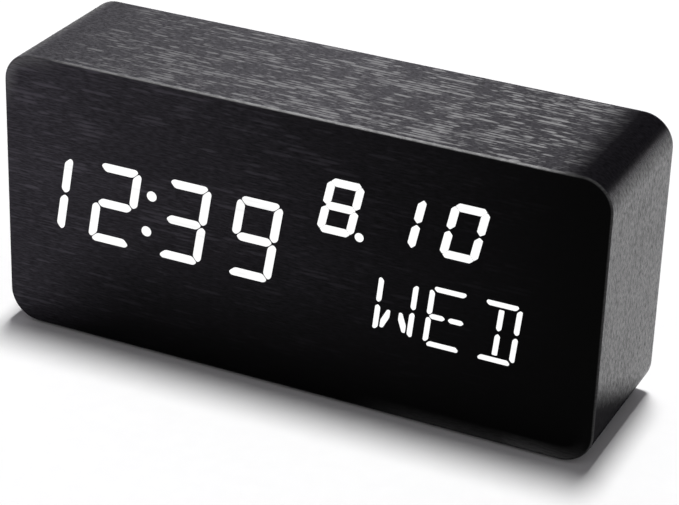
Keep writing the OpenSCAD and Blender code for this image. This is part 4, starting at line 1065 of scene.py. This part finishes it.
def makeGridTree():
    # copies of one piece at the four corners of an oblong, each turned by chance
    tree, inlet, outlet = newTree("cornerCopies", {
        "Geometry": "Geometry", "Columns Apart": "Float", "Rows Apart": "Float", "Most Turn": "Float",
        "Seed": "Int", "Tilt": "Float", "Place": "Vector", "Material": "Material"})
    grid = addNode(tree, "GeometryNodeMeshGrid", {
        "Size X": inlet["Columns Apart"], "Size Y": inlet["Rows Apart"], "Vertices X": 2, "Vertices Y": 2})
    turn = addNode(tree, "FunctionNodeRandomValue", {"Seed": inlet["Seed"]}, data_type="FLOAT")
    tree.links.new(inlet["Most Turn"], turn.inputs[3])
    spin = addNode(tree, "ShaderNodeCombineXYZ", {"Z": turn.outputs[1]})
    copies = addNode(tree, "GeometryNodeInstanceOnPoints", {
        "Points": grid.outputs[0], "Instance": inlet["Geometry"], "Rotation": spin.outputs[0]})
    tilt = addNode(tree, "ShaderNodeCombineXYZ", {"X": inlet["Tilt"]})
    laid = addNode(tree, "GeometryNodeTransform", {
        "Geometry": copies.outputs[0], "Translation": inlet["Place"], "Rotation": tilt.outputs[0]})
    closeTree(tree, laid.outputs[0], inlet, outlet)
    return tree


def treeResult(name, source, tree, values, material):
    # run a tree on a mesh and keep the plain result
    carrier = bpy.data.objects.new(name + "Source", source)
    scene.collection.objects.link(carrier)
    modifier = carrier.modifiers.new("tree", "NODES")
    modifier.node_group = tree
    values["Material"] = material
    for item in tree.interface.items_tree:
        if item.item_type == "SOCKET" and item.in_out == "INPUT" and item.name in values:
            modifier[item.identifier] = values[item.name]
    return newPiece(name, smoothed(settled(carrier, modifier), sharpFrom["turned"]), material)


screw = {
    "radius": 2.3,
    "headTall": 1.3,
    "crown": 0.25,
    "headEdge": 0.25,
    "shank": 1.1,
    "grip": 9.0,
    "point": 1.2,
    "segments": 48,
    "slotLong": 3.0,
    "slotWide": 0.62,
    "slotDeep": 0.75,
    "slotTaper": 0.7,
    "columns": 126.9,
    "rows": 46.3,
    "mostTurn": 1.57,
    "seed": 4,
}


def upright(x, y, z):
    # a turned profile stands along +Z
    return (x, z, y)


def makeScrew():
    # one pan-head screw along +Z, the top of its head at zero, with a cross cut into it
    r, crown, edge, shank = screw["radius"], screw["crown"], screw["headEdge"], screw["shank"]
    under = -screw["headTall"]
    tip = under - screw["grip"]
    profile = [(0, tip), (shank * 0.5, tip), (shank, tip + screw["point"]), (shank, under), (r, under),
               (r, -crown - edge), (r - 0.08, -crown - 0.08), (r - edge, -crown + 0.03)]
    profile += [((r - edge) * f, -crown * f * f * 0.9) for f in (0.8, 0.6, 0.4, 0.2, 0.0)]
    bm = bmesh.new()
    lathe(bm, profile, screw["segments"], upright)
    body = newPiece("screwBody", meshFrom(bm, sharpFrom["turned"]), finishes["blackSteel"])
    bm = bmesh.new()
    long, wide, taper = screw["slotLong"] / 2, screw["slotWide"] / 2, screw["slotTaper"]
    cross = [(long, -wide), (long, wide), (wide, wide), (wide, long), (-wide, long), (-wide, wide),
             (-long, wide), (-long, -wide), (-wide, -wide), (-wide, -long), (wide, -long), (wide, -wide)]
    low = ringOf(bm, [(x * taper, y * taper, -screw["slotDeep"]) for x, y in cross])
    high = ringOf(bm, [(x, y, 0.5) for x, y in cross])
    bridge(bm, low, high)
    bm.faces.new(low)
    bm.faces.new(high)
    cutter = newPiece("screwCross", meshFrom(bm), finishes["blackSteel"])
    cut = body.modifiers.new("cross", "BOOLEAN")
    cut.operation, cut.solver, cut.object = "DIFFERENCE", "EXACT", cutter
    result = settled(body, cut)
    bpy.data.objects.remove(cutter)
    return result


gridTree = makeGridTree()
screwPiece = treeResult("cover_screw_set", makeScrew(), gridTree, {
    "Columns Apart": screw["columns"] * mm, "Rows Apart": screw["rows"] * mm, "Most Turn": screw["mostTurn"],
    "Seed": screw["seed"], "Tilt": -math.pi / 2, "Place": (0, clock["coverY"] * mm, clock["midZ"] * mm),
}, finishes["blackSteel"])
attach(screwPiece, "clock")
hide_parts("cover_screws")

pad = {"radius": 5.5, "thick": 0.6, "edge": 0.18, "segments": 48, "columns": 116.0, "rows": 22.0,
       "mostTurn": 3.1, "seed": 9}


def makePad():
    r, t, e = pad["radius"], pad["thick"], pad["edge"]
    profile = [(0, 0), (r * 0.5, 0), (r - e, 0), (r - e * 0.3, e * 0.3), (r, e), (r, t), (0, t)]
    bm = bmesh.new()
    lathe(bm, profile, pad["segments"], upright)
    return meshFrom(bm, sharpFrom["turned"])


padPiece = treeResult("foot_pad_set", makePad(), gridTree, {
    "Columns Apart": pad["columns"] * mm, "Rows Apart": pad["rows"] * mm, "Most Turn": pad["mostTurn"],
    "Seed": pad["seed"], "Tilt": 0.0, "Place": (0, 0, 0),
}, finishes["padFoam"])
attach(padPiece, "clock")
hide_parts("foot_pads")

spring = {
    "base": 3.6,
    "tip": 2.3,
    "turns": 3.5,
    "turnSteps": 40,
    "long": 6.0,
    "wire": 0.3,
    "wireSteps": 12,
    "stationY": 10.25,
    "places": [(-55.15, 46.4, 1), (-5.45, 35.3, -1), (-55.15, 24.2, 1)],  # x, z and the way it points
}


def makeSpringTree():
    # a narrowing coil on every point, turned by the point's own attribute
    tree, inlet, outlet = newTree("coneSprings", {
        "Geometry": "Geometry", "Base Radius": "Float", "Tip Radius": "Float", "Turns": "Float",
        "Length": "Float", "Wire Radius": "Float", "Material": "Material"})
    coil = addNode(tree, "GeometryNodeCurveSpiral", {
        "Resolution": spring["turnSteps"], "Rotations": inlet["Turns"], "Start Radius": inlet["Base Radius"],
        "End Radius": inlet["Tip Radius"], "Height": inlet["Length"]})
    wire = addNode(tree, "GeometryNodeCurvePrimitiveCircle", {
        "Resolution": spring["wireSteps"], "Radius": inlet["Wire Radius"]})
    tube = addNode(tree, "GeometryNodeCurveToMesh", {
        "Curve": coil.outputs[0], "Profile Curve": wire.outputs[0], "Fill Caps": True})
    side = addNode(tree, "GeometryNodeInputNamedAttribute", {"Name": "side"}, data_type="FLOAT")
    spin = addNode(tree, "ShaderNodeCombineXYZ", {"Y": side.outputs[0]})
    copies = addNode(tree, "GeometryNodeInstanceOnPoints", {
        "Points": inlet["Geometry"], "Instance": tube.outputs[0], "Rotation": spin.outputs[0]})
    closeTree(tree, copies.outputs[0], inlet, outlet)
    return tree


def makeSpringPoints():
    # the wire's outside touches the plate at one end and the cell at the other
    mesh = bpy.data.meshes.new("springPoints")
    wire, y = spring["wire"], spring["stationY"]
    mesh.from_pydata([((x + s * wire) * mm, y * mm, z * mm) for x, z, s in spring["places"]], [], [])
    side = mesh.attributes.new("side", "FLOAT", "POINT")
    for i, (x, z, s) in enumerate(spring["places"]):
        side.data[i].value = s * math.pi / 2
    return mesh


springPiece = treeResult("coil_springs", makeSpringPoints(), makeSpringTree(), {
    "Base Radius": spring["base"] * mm, "Tip Radius": spring["tip"] * mm, "Turns": spring["turns"],
    "Length": (spring["long"] - 2 * spring["wire"]) * mm, "Wire Radius": spring["wire"] * mm,
}, finishes["nickel"])
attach(springPiece, "clock")
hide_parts("battery_springs")
print("screws, pads and springs:", len(screwPiece.data.polygons), len(padPiece.data.polygons),
      len(springPiece.data.polygons), "faces")


# the solids that stay get their own finish
nodeFinish = {
    "paleWood": ["corner_blocks"],
    "film": ["diffuser_film"],
    "whitePlastic": ["segment_reflector", "ribbon_plugs"],
    "litGuide": ["time_guides", "date_guides", "weekday_guides"],
    "darkGuide": ["dark_guides"],
    "tapeFoam": ["module_tape"],
    "solderMask": ["display_board", "control_board"],
    "diode": ["display_leds"],
    "brightSteel": ["display_screws", "control_screws", "timing_crystal", "coin_cell", "chip_legs"],
    "chipResin": ["controller_chip", "driver_chips", "resistors", "push_switches", "buzzer"],
    "nickel": ["contact_plates", "cell_clip", "microphone"],
    "redPlunger": ["set_plunger", "up_plunger", "down_plunger"],
    "inletPlastic": ["power_inlet", "cell_cup"],
    "brass": ["inlet_pin"],
    "rubberBoot": ["mic_boot"],
    "sleeveBlue": ["capacitor"],
    "greyRibbon": ["board_ribbon"],
    "blackLead": ["negative_lead"],
    "redLead": ["positive_lead"],
}
for finish, names in nodeFinish.items():
    for name in names:
        for materialSlot in nodes[name].material_slots:
            materialSlot.material = finishes[finish]
print("solids dressed:", sum(len(names) for names in nodeFinish.values()))
